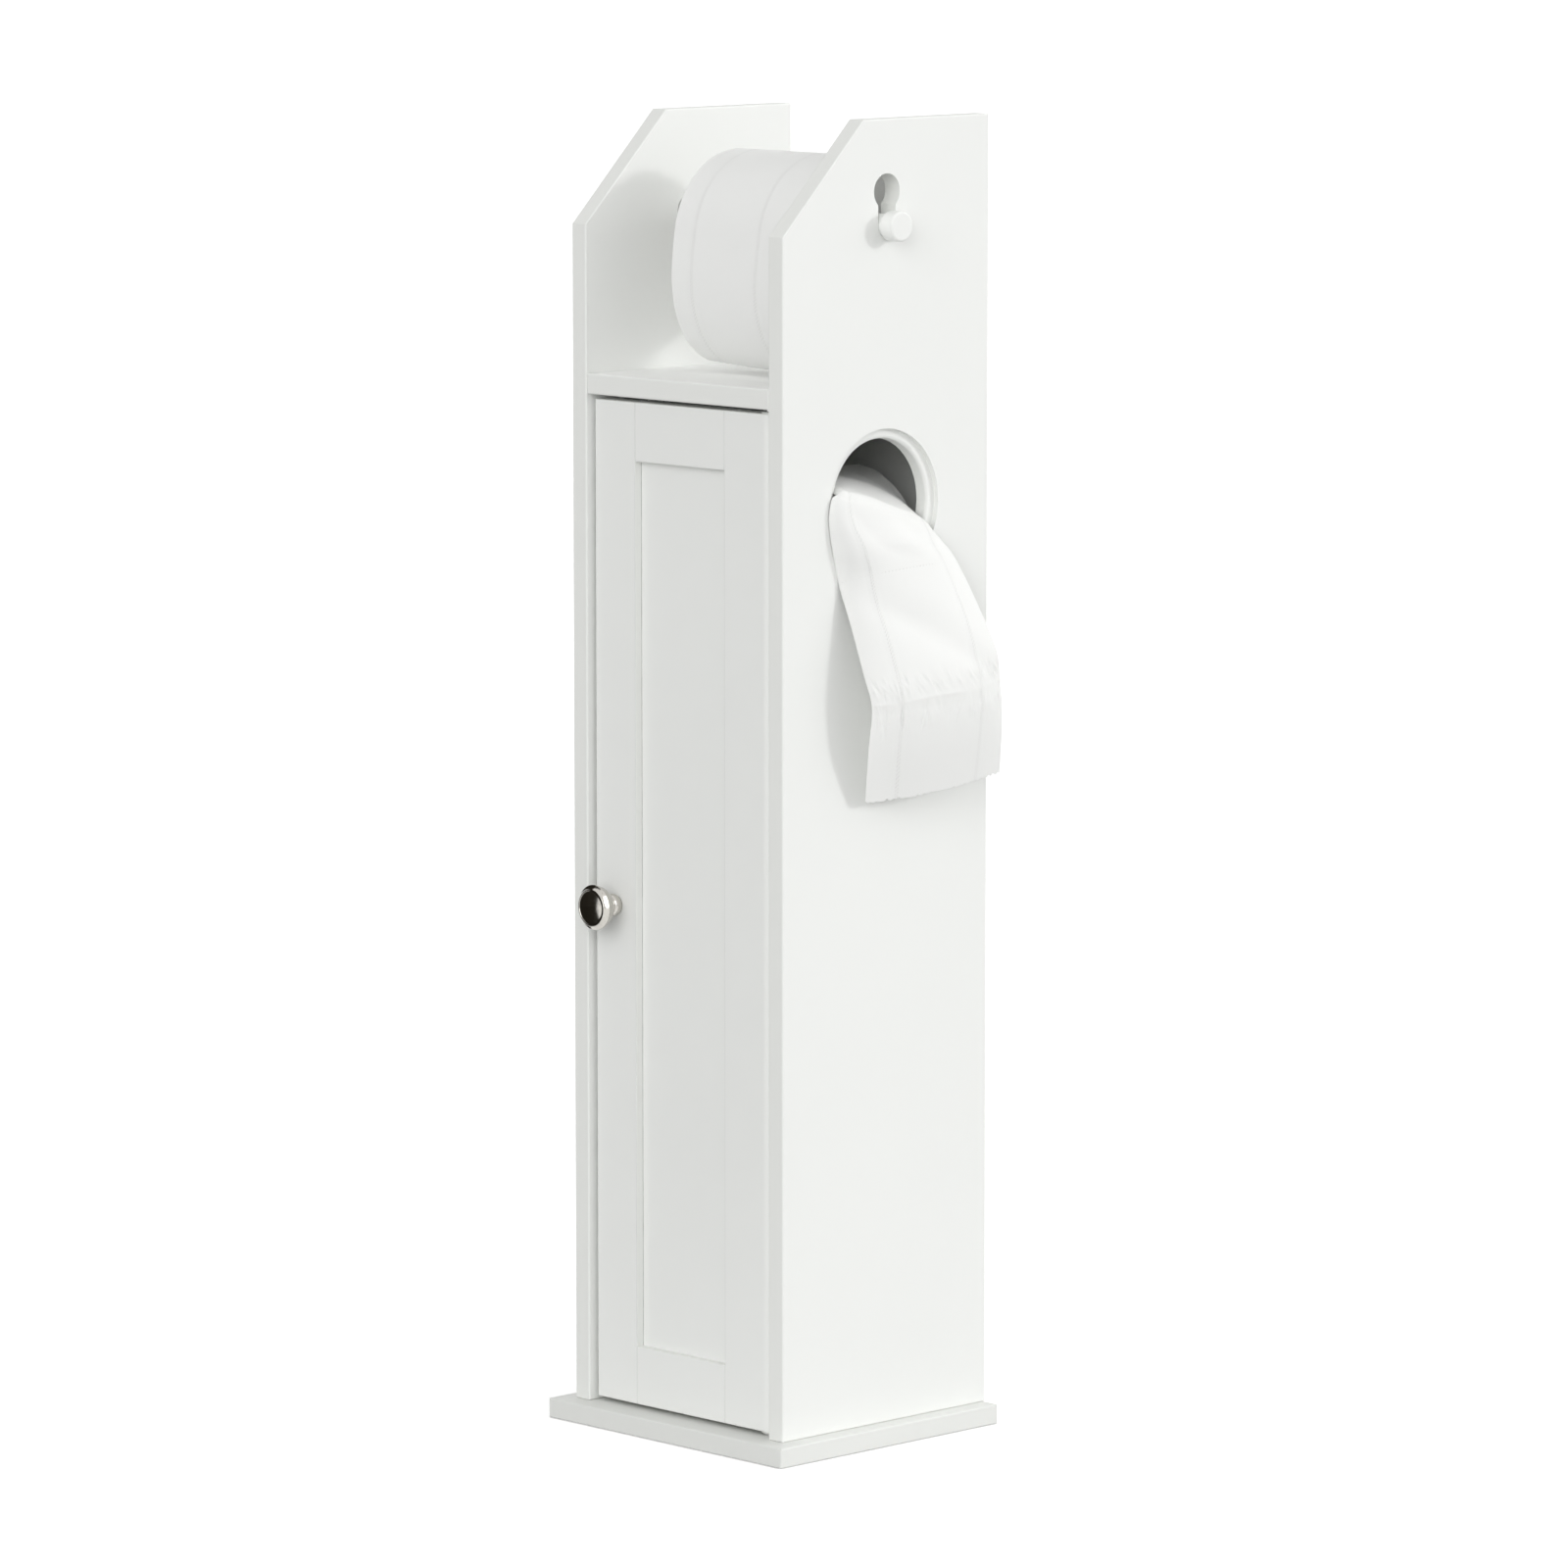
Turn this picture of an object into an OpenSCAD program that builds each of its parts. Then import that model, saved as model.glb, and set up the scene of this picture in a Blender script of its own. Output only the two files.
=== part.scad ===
// Toilet roll storage cabinet: a tall, narrow floor cupboard of painted boards.
// An open bay at the top holds one roll on a lift-out bar. Below a fixed shelf, a
// framed door on pivot pins closes a store for spare rolls. A roll on the inner
// shelf pays its paper out through a round hole in the right-hand side panel.
// Millimetres. X is to the right seen from the front, Y to the back, Z up. The
// origin is the centre of the base plate's underside.

/* [Carcass] */
// Width of the base plate
base_w = 200; // [190:1:240]
// Depth of the base plate
base_d = 180; // [176:1:210]
// Thickness of the base plate
base_t = 12; // [12:1:18]
// Overhang of the base past each side panel
side_lip = 11; // [5:1:16]
// Overhang of the base past the side panels' front edges
front_lip = 12; // [6:1:16]
// Thickness of the side panels
side_t = 12; // [12:1:15]
// Height of the closed bay, from the base to the fixed shelf
door_bay_h = 603.3; // [560:0.1:640]
// Thickness of the fixed shelf
shelf_t = 12; // [12:1:16]
// Set-back of the fixed shelf's front edge
shelf_setback = 0.5; // [0:0.1:2]
// Height of the open bay above the fixed shelf
roll_bay_h = 152.7; // [150:0.1:190]
// Legs of the corner cut from the top of each side panel
corner_cut = 65; // [40:1:75]
// Rounding of the boards' painted edges
edge_r = 1; // [0.5:0.1:1.4]
// Thickness of the back panel
back_t = 3; // [2.5:0.1:4]
// Distance from the back panel to the rear edge of the side panels
back_inset = 4.6; // [3:0.2:8]
// Depth of the groove that holds the back panel
back_groove = 5; // [4:0.5:6]

/* [Inner shelf] */
// Thickness of the inner shelf
inner_shelf_t = 12; // [9:1:15]
// Gap at each end of the inner shelf
inner_shelf_gap = 0.5; // [0.3:0.1:1]
// Gap between the shut door and the inner shelf
inner_shelf_back = 3; // [1:0.5:10]
// Diameter of the shelf pins
shelf_pin_d = 5; // [4:0.5:6]
// Length of a shelf pin that shows inside
shelf_pin_out = 10; // [7:0.5:12]
// Depth of the shelf pin holes
shelf_pin_in = 8; // [6:0.5:9]
// Distance of the shelf pins from the inner shelf's edges
shelf_pin_edge = 24; // [12:1:40]

/* [Round hole] */
// Diameter of the round hole
hole_d = 76.3; // [70:0.1:84]
// Width of the stepped ring around the hole
step_w = 6; // [4:0.5:8]
// Depth of the stepped ring
step_depth = 3.5; // [2:0.5:5]
// Rounding of the ring's inner edge
step_r = 2; // [1:0.25:3]
// Distance from the fixed shelf's underside down to the hole's centre
hole_drop = 59; // [55:0.5:70]
// Distance of the hole's centre in front of the side panel's middle
hole_forward = 1.5; // [0:0.5:3]

/* [Keyhole and bar] */
// Diameter of the keyhole's round entry
key_d = 21; // [19:0.5:24]
// Width of the keyhole's slot
slot_w = 14.2; // [14:0.1:15]
// Distance from the side panel's top down to the entry's centre
key_drop = 42; // [38:1:50]
// Distance from the entry's centre down to the bar
slot_drop = 19.8; // [18:0.2:22]
// Diameter of the bar
bar_d = 18; // [16:0.5:18.5]
// Diameter of the bar's neck in the slot
neck_d = 13.6; // [12:0.1:13.8]
// Diameter of the bar's head
head_d = 17.8; // [16:0.1:18.5]
// Thickness of the bar's head
head_t = 10.2; // [6:0.2:14]
// Gap between the head and the side panel
head_gap = 2.5; // [2:0.1:4]
// Diameter of the blind socket for the bar's other end
socket_d = 20; // [19.6:0.2:22]
// Depth of that socket
socket_depth = 8; // [6:0.5:9]
// Gap at the socket's bottom, where the bar's end tips as it is lifted
socket_gap = 1.4; // [1.3:0.1:2]

/* [Door] */
// Thickness of the door's frame
door_t = 15; // [13:0.5:18]
// Set-back of the door behind the side panels' front edges
door_setback = 5; // [3:0.5:10]
// Gap at each side of the door
door_gap_side = 2; // [1.5:0.1:3]
// Gap under the door
door_gap_low = 2.5; // [2.2:0.1:4]
// Gap over the door
door_gap_top = 3; // [2.5:0.1:4]
// Width of the stile that carries the knob
knob_stile_w = 34.5; // [30:0.5:40]
// Width of the stile that carries the hinge pins, with its full-round edge
hinge_stile_w = 40; // [34:0.5:46]
// Height of the top and bottom rails
rail_h = 35; // [30:0.5:50]
// Thickness of the door's panel
panel_t = 5; // [3:0.5:6]
// Rounding of the edges where the stiles and rails meet
joint_r = 0.3; // [0.2:0.05:0.8]
// Depth of the grooves that hold the door's panel
groove_d = 6; // [4:0.5:8]
// Gap between the panel's edge and the bottom of its groove
panel_gap = 0.5; // [0.3:0.1:1]

/* [Hinge pins] */
// Diameter of the hinge pins
pin_d = 5; // [4:0.5:5]
// Depth of the pins in the base and in the fixed shelf
pin_in = 8; // [6:0.5:9]
// Outer diameter of the pins' bushes
bush_d = 9; // [8:0.5:9.5]
// Length of the bushes in the door
bush_l = 12; // [8:0.5:20]
// Diameter of the bushes' flanges
bush_flange_d = 12.6; // [11:0.2:13]
// Thickness of the bushes' flanges
bush_flange_t = 1; // [0.6:0.1:1.2]
// Diameter of the collars on the pins
collar_d = 10; // [8:0.5:12]

/* [Knob] */
// Diameter of the knob
knob_d = 27; // [22:0.5:32]
// Projection of the knob from the door
knob_proj = 24; // [22:0.5:30]
// Diameter of the knob's foot
knob_foot_d = 13.5; // [11:0.5:16]
// Diameter of the knob's neck
knob_neck_d = 9; // [7.5:0.5:10]
// Diameter of the knob's screw
knob_screw_d = 4; // [3:0.5:4]
// Depth of the screw in the knob
knob_thread = 9; // [6:0.5:14]

/* [Magnetic catch] */
// Length of the catch's housing
catch_l = 34; // [30:1:36]
// Depth of the catch's housing
catch_d = 12; // [10:0.5:16]
// Height of the catch's housing
catch_h = 14; // [12:0.5:18]
// Width of the magnet with its pole plates
magnet_w = 20; // [14:0.5:20]
// Width of the strike plate
strike_w = 24; // [20:1:26]
// Height of the strike plate
strike_h = 12; // [10:0.5:14]
// Thickness of the strike plate
strike_t = 1; // [0.8:0.1:1.5]

/* [Joinery] */
// Diameter of the wooden dowels
dowel_d = 6; // [5:0.5:6.5]
// Length of a dowel in the shelf's end or up a side panel
dowel_long = 18; // [14:1:20]
// Length of a dowel across a board's thickness
dowel_short = 8; // [6:0.5:9]
// Distance of the rear fixings from the side panels' rear edges
fixing_edge = 25; // [20:1:32]
// Distance from a dowel to the cam lock beside it
fixing_pitch = 24; // [20:1:28]
// Diameter of the cam locks
cam_d = 12; // [11:0.5:13]
// Height of the cam locks
cam_h = 9; // [8.5:0.1:9.5]
// Distance from the side panel to a cam lock's centre
cam_reach = 24; // [20:0.5:30]
// Diameter of the cam bolts' threads
cam_bolt_d = 5; // [4:0.5:6]
// Diameter of the base screws
base_screw_d = 4; // [3:0.5:4.5]
// Length of the base screws
base_screw_l = 40; // [30:1:50]
// Diameter of the small screws of the catch and the strike plate
small_screw_d = 3; // [2.5:0.5:3.5]

/* [Rolls and paper] */
// Diameter of a full roll
roll_d = 105; // [98:1:108]
// Length of a roll
roll_l = 98; // [88:1:100]
// Inner diameter of a roll's core
core_d = 45; // [38:1:50]
// Wall of a roll's core
core_wall = 1; // [0.6:0.1:1.5]
// Gap between the upper roll and the right-hand side panel
upper_roll_gap = 13; // [12:0.5:24]
// Gap between the lower roll and the right-hand side panel
lower_roll_gap = 8; // [4:0.5:16]
// Distance from the hole's centre down to the lower roll's axis
lower_roll_drop = 38; // [32:0.5:44]
// Thickness that the loose layers of paper fill
paper_t = 0.6; // [0.5:0.1:0.8]
// Reach of the upper roll's loose end from the roll's axis
flap_reach = 75; // [60:0.5:76]
// Angle below the horizontal at which that loose end is torn
flap_end = 71; // [40:1:80]
// Height from the hole's centre down to the torn end of the lower paper
tail_drop = 173.5; // [120:0.5:200]
// Widest reach of the lower paper from the side panel
tail_bulge = 42; // [36:0.5:54]

/* [Fits] */
// Radial clearance of pins, dowels, screws and bushes in their holes
fit = 0.05; // [0.02:0.01:0.1]
// Gap where one piece lies on or runs beside another
rest_gap = 0.3; // [0.2:0.05:0.4]

/* [Hidden] */
$fn = 64;

paint = [0.95, 0.95, 0.93];
tissue = [0.97, 0.97, 0.95];
steel = [0.75, 0.75, 0.76];
zinc = [0.66, 0.66, 0.66];
pewter = [0.62, 0.58, 0.52];
beech = [0.86, 0.72, 0.52];
nylon = [0.88, 0.88, 0.85];
card = [0.72, 0.6, 0.45];
hardboard = [0.93, 0.93, 0.91];

// Faces of the boards
side_out = base_w / 2 - side_lip;
side_in = side_out - side_t;
side_mid = side_in + side_t / 2;
front_y = front_lip - base_d / 2;
back_y = base_d / 2;
mid_y = (front_y + back_y) / 2;
shelf_z = base_t + door_bay_h;
shelf_top = shelf_z + shelf_t;
shelf_mid = shelf_z + shelf_t / 2;
cab_h = shelf_top + roll_bay_h;
back_front = back_y - back_inset - back_t;
back_play = 0.2;

// Hole, keyhole and bar
hole_r = hole_d / 2;
hole_z = shelf_z - hole_drop;
hole_y = mid_y - hole_forward;
key_z = cab_h - key_drop;
bar_z = key_z - slot_drop;
bar_left = -side_in - socket_depth + socket_gap;
bar_shoulder = side_in - 1.5;
head_in = side_out + head_gap;
socket_z = bar_z - bar_d / 2 + socket_d / 2 - rest_gap;

// Door
door_left = -side_in + door_gap_side;
door_right = side_in - door_gap_side;
door_low = base_t + door_gap_low;
door_high = shelf_z - door_gap_top;
door_front = front_y + door_setback;
door_back = door_front + door_t;
door_mid = (door_front + door_back) / 2;
rail_left = door_left + knob_stile_w;
rail_right = door_right - hinge_stile_w;
hinge_x = door_right - door_t / 2;
knob_x = door_left + knob_stile_w / 2;
knob_z = (door_low + door_high) / 2;

// Strike plate and catch
strike_z = door_high - strike_h / 2 - 3;
strike_face = door_back + strike_t;
pole_y = strike_face + rest_gap;
catch_y = pole_y + 0.6;
ear_l = 6;
ear_t = 3;

// Fixings along the depth of the side panels
fixing_front = catch_y + catch_d + dowel_d / 2 + 1;
outer_fixings = [fixing_front, back_y - fixing_edge];
inner_fixings = [fixing_front + fixing_pitch, back_y - fixing_edge - fixing_pitch];

// Rolls
roll_r = roll_d / 2;
core_out = core_d / 2 + core_wall;
upper_roll_z = bar_z + bar_d / 2 + rest_gap - core_d / 2;
upper_roll_right = side_in - upper_roll_gap;
upper_roll_left = upper_roll_right - roll_l;
lower_roll_x = side_in - lower_roll_gap - roll_r;
lower_roll_z = hole_z - lower_roll_drop;
lower_roll_front = mid_y - roll_l / 2;
inner_shelf_top = lower_roll_z - roll_r - rest_gap;
inner_shelf_low = inner_shelf_top - inner_shelf_t;
inner_shelf_front = door_back + inner_shelf_back;
inner_shelf_depth = back_front - rest_gap - inner_shelf_front;
shelf_pin_y = [
    inner_shelf_front + shelf_pin_edge,
    inner_shelf_front + inner_shelf_depth - shelf_pin_edge
];
shelf_pin_z = inner_shelf_low - shelf_pin_d / 2;

// ---- Shapes that repeat ----

// A rectangle with its corners eased
module eased(w, h, r) {
    translate([r, 0]) square([w - 2 * r, h]);
    translate([0, r]) square([w, h - 2 * r]);
    for (x = [r, w - r], y = [r, h - r]) translate([x, y]) circle(r, $fn = 32);
}

// A profile drawn in X and Z, extruded along +Y
module along_y(l) {
    translate([0, l, 0]) rotate([90, 0, 0]) linear_extrude(l) children();
}

// A profile drawn in Y and Z, extruded along +X
module along_x(l) {
    rotate([90, 0, 90]) linear_extrude(l) children();
}

// A board with every long edge eased
module board(size) {
    intersection() {
        linear_extrude(size.z) eased(size.x, size.y, edge_r);
        along_y(size.y) eased(size.x, size.z, edge_r);
        along_x(size.x) eased(size.y, size.z, edge_r);
    }
}

// A round bar along +X or +Y from the point that it is moved to
module rod_x(r, l) {
    rotate([0, 90, 0]) cylinder(r = r, h = l);
}

module rod_y(r, l) {
    rotate([-90, 0, 0]) cylinder(r = r, h = l);
}

// The same thing at the left and at the right
module both_sides() {
    children();
    mirror([1, 0, 0]) children();
}

// ---- Carcass ----

module base_plate() {
    color(paint) difference() {
        translate([-base_w / 2, -base_d / 2, 0]) board([base_w, base_d, base_t]);
        both_sides() base_bores();
        translate([hinge_x, door_mid, base_t - pin_in])
            cylinder(r = pin_d / 2 + fit, h = pin_in + 1);
    }
}

// Countersunk screw holes and blind dowel holes under one side panel
module base_bores() {
    head = base_screw_d + fit;
    shank = base_screw_d / 2 + fit;
    for (y = outer_fixings) translate([side_mid, y, 0]) rotate_extrude() polygon([
        [0, -1], [head, -1], [head, screw_sink + screw_rim],
        [shank, screw_sink + base_screw_d / 2], [shank, base_t + 1], [0, base_t + 1]
    ]);
    for (y = inner_fixings) translate([side_mid, y, base_t - dowel_short])
        cylinder(r = dowel_d / 2 + fit, h = dowel_short + 1);
}

// The right-hand side panel without its hole and keyhole. The profile that cuts and
// eases the diagonal is a little wider than the panel, so no two faces coincide.
module side_board() {
    depth = back_y - front_y;
    height = cab_h - base_t;
    reach = 2 * (depth + height);
    wider = 0.05;
    difference() {
        intersection() {
            translate([side_in, front_y, base_t]) board([side_t, depth, height]);
            translate([side_in - wider, front_y, cab_h - corner_cut]) rotate([45, 0, 0])
                translate([0, -reach / 2, -reach])
                    along_y(reach) eased(side_t + 2 * wider, reach, edge_r);
        }
        side_bores();
        translate([side_in - 1, back_front - back_play, base_t - 1])
            cube([back_groove + 1, back_t + 2 * back_play, door_bay_h + 1]);
    }
}

// Blind holes in the inner face and the lower edge of a side panel
module side_bores() {
    for (y = outer_fixings) {
        translate([side_mid, y, base_t - 1])
            cylinder(r = base_screw_d / 2 + fit, h = base_screw_l - base_t + 2);
        translate([side_in - 1, y, shelf_mid]) rod_x(dowel_d / 2 + fit, dowel_short + 1);
    }
    for (y = inner_fixings) {
        translate([side_mid, y, base_t - 1])
            cylinder(r = dowel_d / 2 + fit, h = dowel_long + 1);
        translate([side_in - 1, y, shelf_mid]) rod_x(cam_bolt_d / 2 + fit, dowel_short + 1);
    }
    for (y = shelf_pin_y) translate([side_in - 1, y, shelf_pin_z])
        rod_x(shelf_pin_d / 2 + fit, shelf_pin_in + 1);
}

module left_side_panel() {
    color(paint) difference() {
        mirror([1, 0, 0]) side_board();
        translate([-side_in - socket_depth, mid_y, socket_z])
            rod_x(socket_d / 2, socket_depth + 1);
    }
}

module right_side_panel() {
    color(paint) difference() {
        side_board();
        translate([side_out, hole_y, hole_z]) rotate([0, 90, 0]) stepped_hole();
        keyhole();
    }
}

// The cut for the round hole: bore, stepped ring and the ring's rounded inner edge
module stepped_hole() {
    rotate_extrude($fn = 128) {
        translate([0, -side_t - 1]) square([hole_r, side_t + 2]);
        translate([0, -step_depth]) square([hole_r + step_w, step_depth + 1]);
        difference() {
            translate([0, -step_depth - step_r]) square([hole_r + step_r, step_r]);
            translate([hole_r + step_r, -step_depth - step_r]) circle(step_r);
        }
    }
}

// The cut for the bar: a round entry, and a slot down to the bar's seat
module keyhole() {
    through = side_t + 2;
    seat_z = bar_z - neck_d / 2 + slot_w / 2 - rest_gap;
    translate([side_in - 1, mid_y, key_z]) rod_x(key_d / 2, through);
    translate([side_in - 1, mid_y, seat_z]) rod_x(slot_w / 2, through);
    translate([side_in - 1, mid_y - slot_w / 2, seat_z])
        cube([through, slot_w, key_z - seat_z]);
}

module fixed_shelf() {
    y0 = front_y + shelf_setback;
    color(paint) difference() {
        translate([-side_in, y0, shelf_z]) board([2 * side_in, back_y - y0, shelf_t]);
        both_sides() shelf_bores();
        translate([hinge_x, door_mid, shelf_z - 1])
            cylinder(r = pin_d / 2 + fit, h = pin_in + 1);
        for (x = catch_screw_x()) translate([x, catch_y + catch_d / 2, shelf_z - 1])
            cylinder(r = small_screw_d / 2 + fit, h = catch_bite + 1.2);
    }
}

// Dowel holes, cam recesses and bolt holes in one end of the fixed shelf
module shelf_bores() {
    for (y = outer_fixings) translate([side_in - dowel_long, y, shelf_mid])
        rod_x(dowel_d / 2 + fit, dowel_long + 1);
    for (y = inner_fixings) {
        translate([side_in - cam_reach, y, shelf_mid]) rod_x(cam_throat / 2, cam_reach + 1);
        translate([side_in - cam_reach, y, shelf_z - 1])
            cylinder(r = cam_d / 2 + fit, h = cam_h + 1.2);
    }
}

module back_panel() {
    half = side_in + back_groove - back_play;
    color(hardboard) translate([-half, back_front, base_t])
        cube([2 * half, back_t, door_bay_h - back_play]);
}

module inner_shelf() {
    w = 2 * (side_in - inner_shelf_gap);
    color(paint) translate([-w / 2, inner_shelf_front, inner_shelf_low])
        board([w, inner_shelf_depth, inner_shelf_t]);
}

// Four steel pins under the inner shelf, with rounded tips
module shelf_pins() {
    tip = 0.8;
    r = shelf_pin_d / 2;
    color(steel) both_sides() for (y = shelf_pin_y)
        translate([side_in + shelf_pin_in, y, shelf_pin_z - fit]) rotate([0, -90, 0])
            rotate_extrude() {
                square([r, shelf_pin_in + shelf_pin_out - tip]);
                square([r - tip, shelf_pin_in + shelf_pin_out]);
                translate([r - tip, shelf_pin_in + shelf_pin_out - tip]) intersection() {
                    circle(tip, $fn = 32);
                    square(tip);
                }
            }
}

// ---- Joinery ----

cam_throat = 7.2;
bolt_head_d = 6;
bolt_neck_d = 3.6;
screw_sink = 0.3;
screw_rim = 0.2;

// Fluted-dowel blanks with bevelled ends, in the base and in the shelf's ends
module wood_dowels() {
    color(beech) both_sides() {
        for (y = inner_fixings) translate([side_mid, y, base_t - dowel_short]) dowel();
        for (y = outer_fixings) translate([side_in + dowel_short, y, shelf_mid])
            rotate([0, -90, 0]) dowel();
    }
}

module dowel() {
    r = dowel_d / 2;
    l = dowel_short + dowel_long - 0.5;
    bevel = 0.8;
    rotate_extrude() polygon([
        [0, 0], [r - bevel, 0], [r, bevel], [r, l - bevel], [r - bevel, l], [0, l]
    ]);
}

// Cam discs let in from below, slotted for a screwdriver and open to the bolt
module cam_locks() {
    color(zinc) both_sides() for (y = inner_fixings)
        translate([side_in - cam_reach, y, shelf_z]) difference() {
            cylinder(r = cam_d / 2, h = cam_h);
            translate([-bolt_head_d / 2, -cam_throat / 2, shelf_t / 2 - cam_throat / 2])
                cube([cam_d, cam_throat, cam_h]);
            for (a = [45, 135]) rotate([0, 0, a])
                translate([-3.5, -0.6, -1]) cube([7, 1.2, 2.2]);
        }
}

module cam_bolts() {
    color(zinc) both_sides() for (y = inner_fixings) translate([side_in, y, shelf_mid])
        rotate([0, 90, 0]) union() {
            cylinder(r = cam_bolt_d / 2, h = dowel_short);
            translate([0, 0, -2]) cylinder(r = cam_throat / 2 - rest_gap, h = 2);
            translate([0, 0, -cam_reach + 1]) cylinder(r = bolt_neck_d / 2, h = cam_reach);
            translate([0, 0, -cam_reach]) cylinder(r = bolt_head_d / 2, h = 2.5);
        }
}

// Countersunk screws up through the base into the side panels
module base_screws() {
    color(zinc) both_sides() for (y = outer_fixings) translate([side_mid, y, screw_sink])
        countersunk(base_screw_d, base_screw_l);
}

// A countersunk screw standing on its head, with a cross recess
module countersunk(d, l) {
    difference() {
        rotate_extrude() polygon([
            [0, 0], [d, 0], [d, screw_rim], [d / 2, d / 2], [d / 2, l - d], [0, l]
        ]);
        for (a = [0, 90]) rotate([0, 0, a])
            translate([-d * 0.45, -d * 0.1, -1]) cube([d * 0.9, d * 0.2, 1 + d * 0.3]);
    }
}

// ---- Hinge pins ----

// A pin in the base and one in the shelf, each with a collar that spaces the door
module hinge_pins() {
    low_collar = door_gap_low - bush_flange_t - rest_gap;
    top_collar = door_gap_top - bush_flange_t - rest_gap;
    color(steel) union() {
        translate([hinge_x, door_mid, base_t]) hinge_pin(low_collar, door_gap_low);
        translate([hinge_x, door_mid, shelf_z]) mirror([0, 0, 1])
            hinge_pin(top_collar, door_gap_top);
    }
}

module hinge_pin(collar_h, gap) {
    r = pin_d / 2;
    tip = gap + bush_l - 0.5;
    rotate_extrude() polygon([
        [0, -pin_in + 0.2], [r, -pin_in + 0.2], [r, 0], [collar_d / 2, 0],
        [collar_d / 2, collar_h], [r, collar_h], [r, tip - 1], [r - 1, tip], [0, tip]
    ]);
}

// Flanged bushes pressed into the ends of the hinge stile
module hinge_bushes() {
    color(nylon) union() {
        translate([hinge_x, door_mid, door_low]) bush();
        translate([hinge_x, door_mid, door_high]) mirror([0, 0, 1]) bush();
    }
}

module bush() {
    bore = pin_d / 2 + fit;
    rotate_extrude() {
        translate([bore, 0]) square([bush_d / 2 - bore, bush_l]);
        translate([bore, -bush_flange_t])
            square([bush_flange_d / 2 - bore, bush_flange_t]);
    }
}

// ---- Door ----

tenon_gap = 0.1;
panel_y = door_mid - panel_t / 2;

// The groove's profile in a stile or rail, centred on the door's thickness
module groove(length) {
    translate([0, panel_y - tenon_gap, -1]) cube([groove_d + 1, panel_t + 2 * tenon_gap, length]);
}

// A stile whose edge at x = 0 is the outer one. The inner edge meets the rails, so it
// is eased less, and so are the rails' ends.
module stile(w, h) {
    intersection() {
        linear_extrude(h) intersection() {
            eased(w + edge_r, door_t, edge_r);
            translate([-edge_r, 0]) eased(w + edge_r, door_t, joint_r);
        }
        along_x(w) eased(door_t, h, edge_r);
    }
}

module door_knob_stile() {
    h = door_high - door_low;
    color(paint) difference() {
        translate([door_left, door_front, door_low]) stile(knob_stile_w, h);
        translate([rail_left - groove_d, 0, door_low]) groove(h + 2);
        translate([knob_x, door_front - 1, knob_z]) rod_y(knob_screw_d / 2 + fit, door_t + 2);
        translate([knob_x, door_back - strike_bite, strike_z])
            rod_y(small_screw_d / 2 + fit, strike_bite + 1);
    }
}

// The outer edge is a full round about the hinge pins, so it turns in its gap
module door_hinge_stile() {
    h = door_high - door_low;
    color(paint) difference() {
        intersection() {
            translate([door_right, door_front, door_low]) mirror([1, 0, 0])
                stile(hinge_stile_w, h);
            translate([0, 0, door_low]) linear_extrude(h) {
                translate([rail_right, door_front]) square([hinge_x - rail_right, door_t]);
                translate([hinge_x, door_mid]) circle(door_t / 2);
            }
        }
        translate([rail_right - 1, 0, door_low]) groove(h + 2);
        for (z = [door_low - 1, door_high - bush_l])
            translate([hinge_x, door_mid, z]) cylinder(r = bush_d / 2 + fit, h = bush_l + 1);
    }
}

// A rail with a stub tenon at each end and a groove for the panel. Its groove faces
// up, and grooved_top is false for the rail above the panel.
module rail(z, grooved_top) {
    w = rail_right - rail_left;
    groove_z = grooved_top ? z + rail_h - groove_d : z - 1;
    tenon = groove_d - tenon_gap;
    difference() {
        union() {
            translate([rail_left, door_front, z]) intersection() {
                linear_extrude(rail_h) eased(w, door_t, joint_r);
                along_x(w) eased(door_t, rail_h, edge_r);
            }
            translate([rail_left - tenon, panel_y, z + edge_r])
                cube([w + 2 * tenon, panel_t, rail_h - 2 * edge_r]);
        }
        translate([rail_left - groove_d, panel_y - tenon_gap, groove_z])
            cube([w + 2 * groove_d, panel_t + 2 * tenon_gap, groove_d + 1]);
    }
}

module door_top_rail() {
    color(paint) rail(door_high - rail_h, false);
}

module door_bottom_rail() {
    color(paint) rail(door_low, true);
}

module door_panel() {
    inset = groove_d - panel_gap;
    x0 = rail_left - inset;
    z0 = door_low + rail_h - inset;
    color(paint) translate([x0, panel_y, z0])
        cube([rail_right + inset - x0, panel_t, door_high - rail_h + inset - z0]);
}

// A turned mushroom knob: round foot, waisted neck, and a stepped face
module door_knob() {
    r = knob_d / 2;
    foot = knob_foot_d / 2;
    neck = knob_neck_d / 2;
    cap_y = knob_proj - 7.5;
    color(pewter) translate([knob_x, door_front, knob_z]) rotate([90, 0, 0]) difference() {
        rotate_extrude($fn = 96) {
            polygon(concat(
                [[0, 0], [foot - 1, 0], [foot, 1.2], [foot - 0.6, 3]],
                [for (a = [0:15:90]) [neck + 1.6 * (1 - sin(a)), 4.6 + 4 * (1 - cos(a))]],
                [for (a = [0:15:75]) [neck + (r - neck - 1.5) * (1 - cos(a)),
                    cap_y - 6 + 6 * sin(a)]],
                [[r - 1, cap_y + 1], [r, cap_y + 2.4], [r - 0.3, cap_y + 3.4],
                    [r * 0.8, cap_y + 6.2], [r * 0.77, cap_y + 6.2], [r * 0.74, cap_y + 6.7]],
                [for (t = [0.6, 0.3, 0]) [r * t, knob_proj - 0.8 * t * t]]
            ));
        }
        translate([0, 0, -1]) cylinder(r = knob_screw_d / 2 + fit, h = knob_thread + 1.5);
    }
}

// A pan-head machine screw from inside the door
module knob_screw() {
    color(steel) translate([knob_x, door_back, knob_z]) rotate([90, 0, 0])
        pan_head(knob_screw_d, door_t + knob_thread);
}

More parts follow.
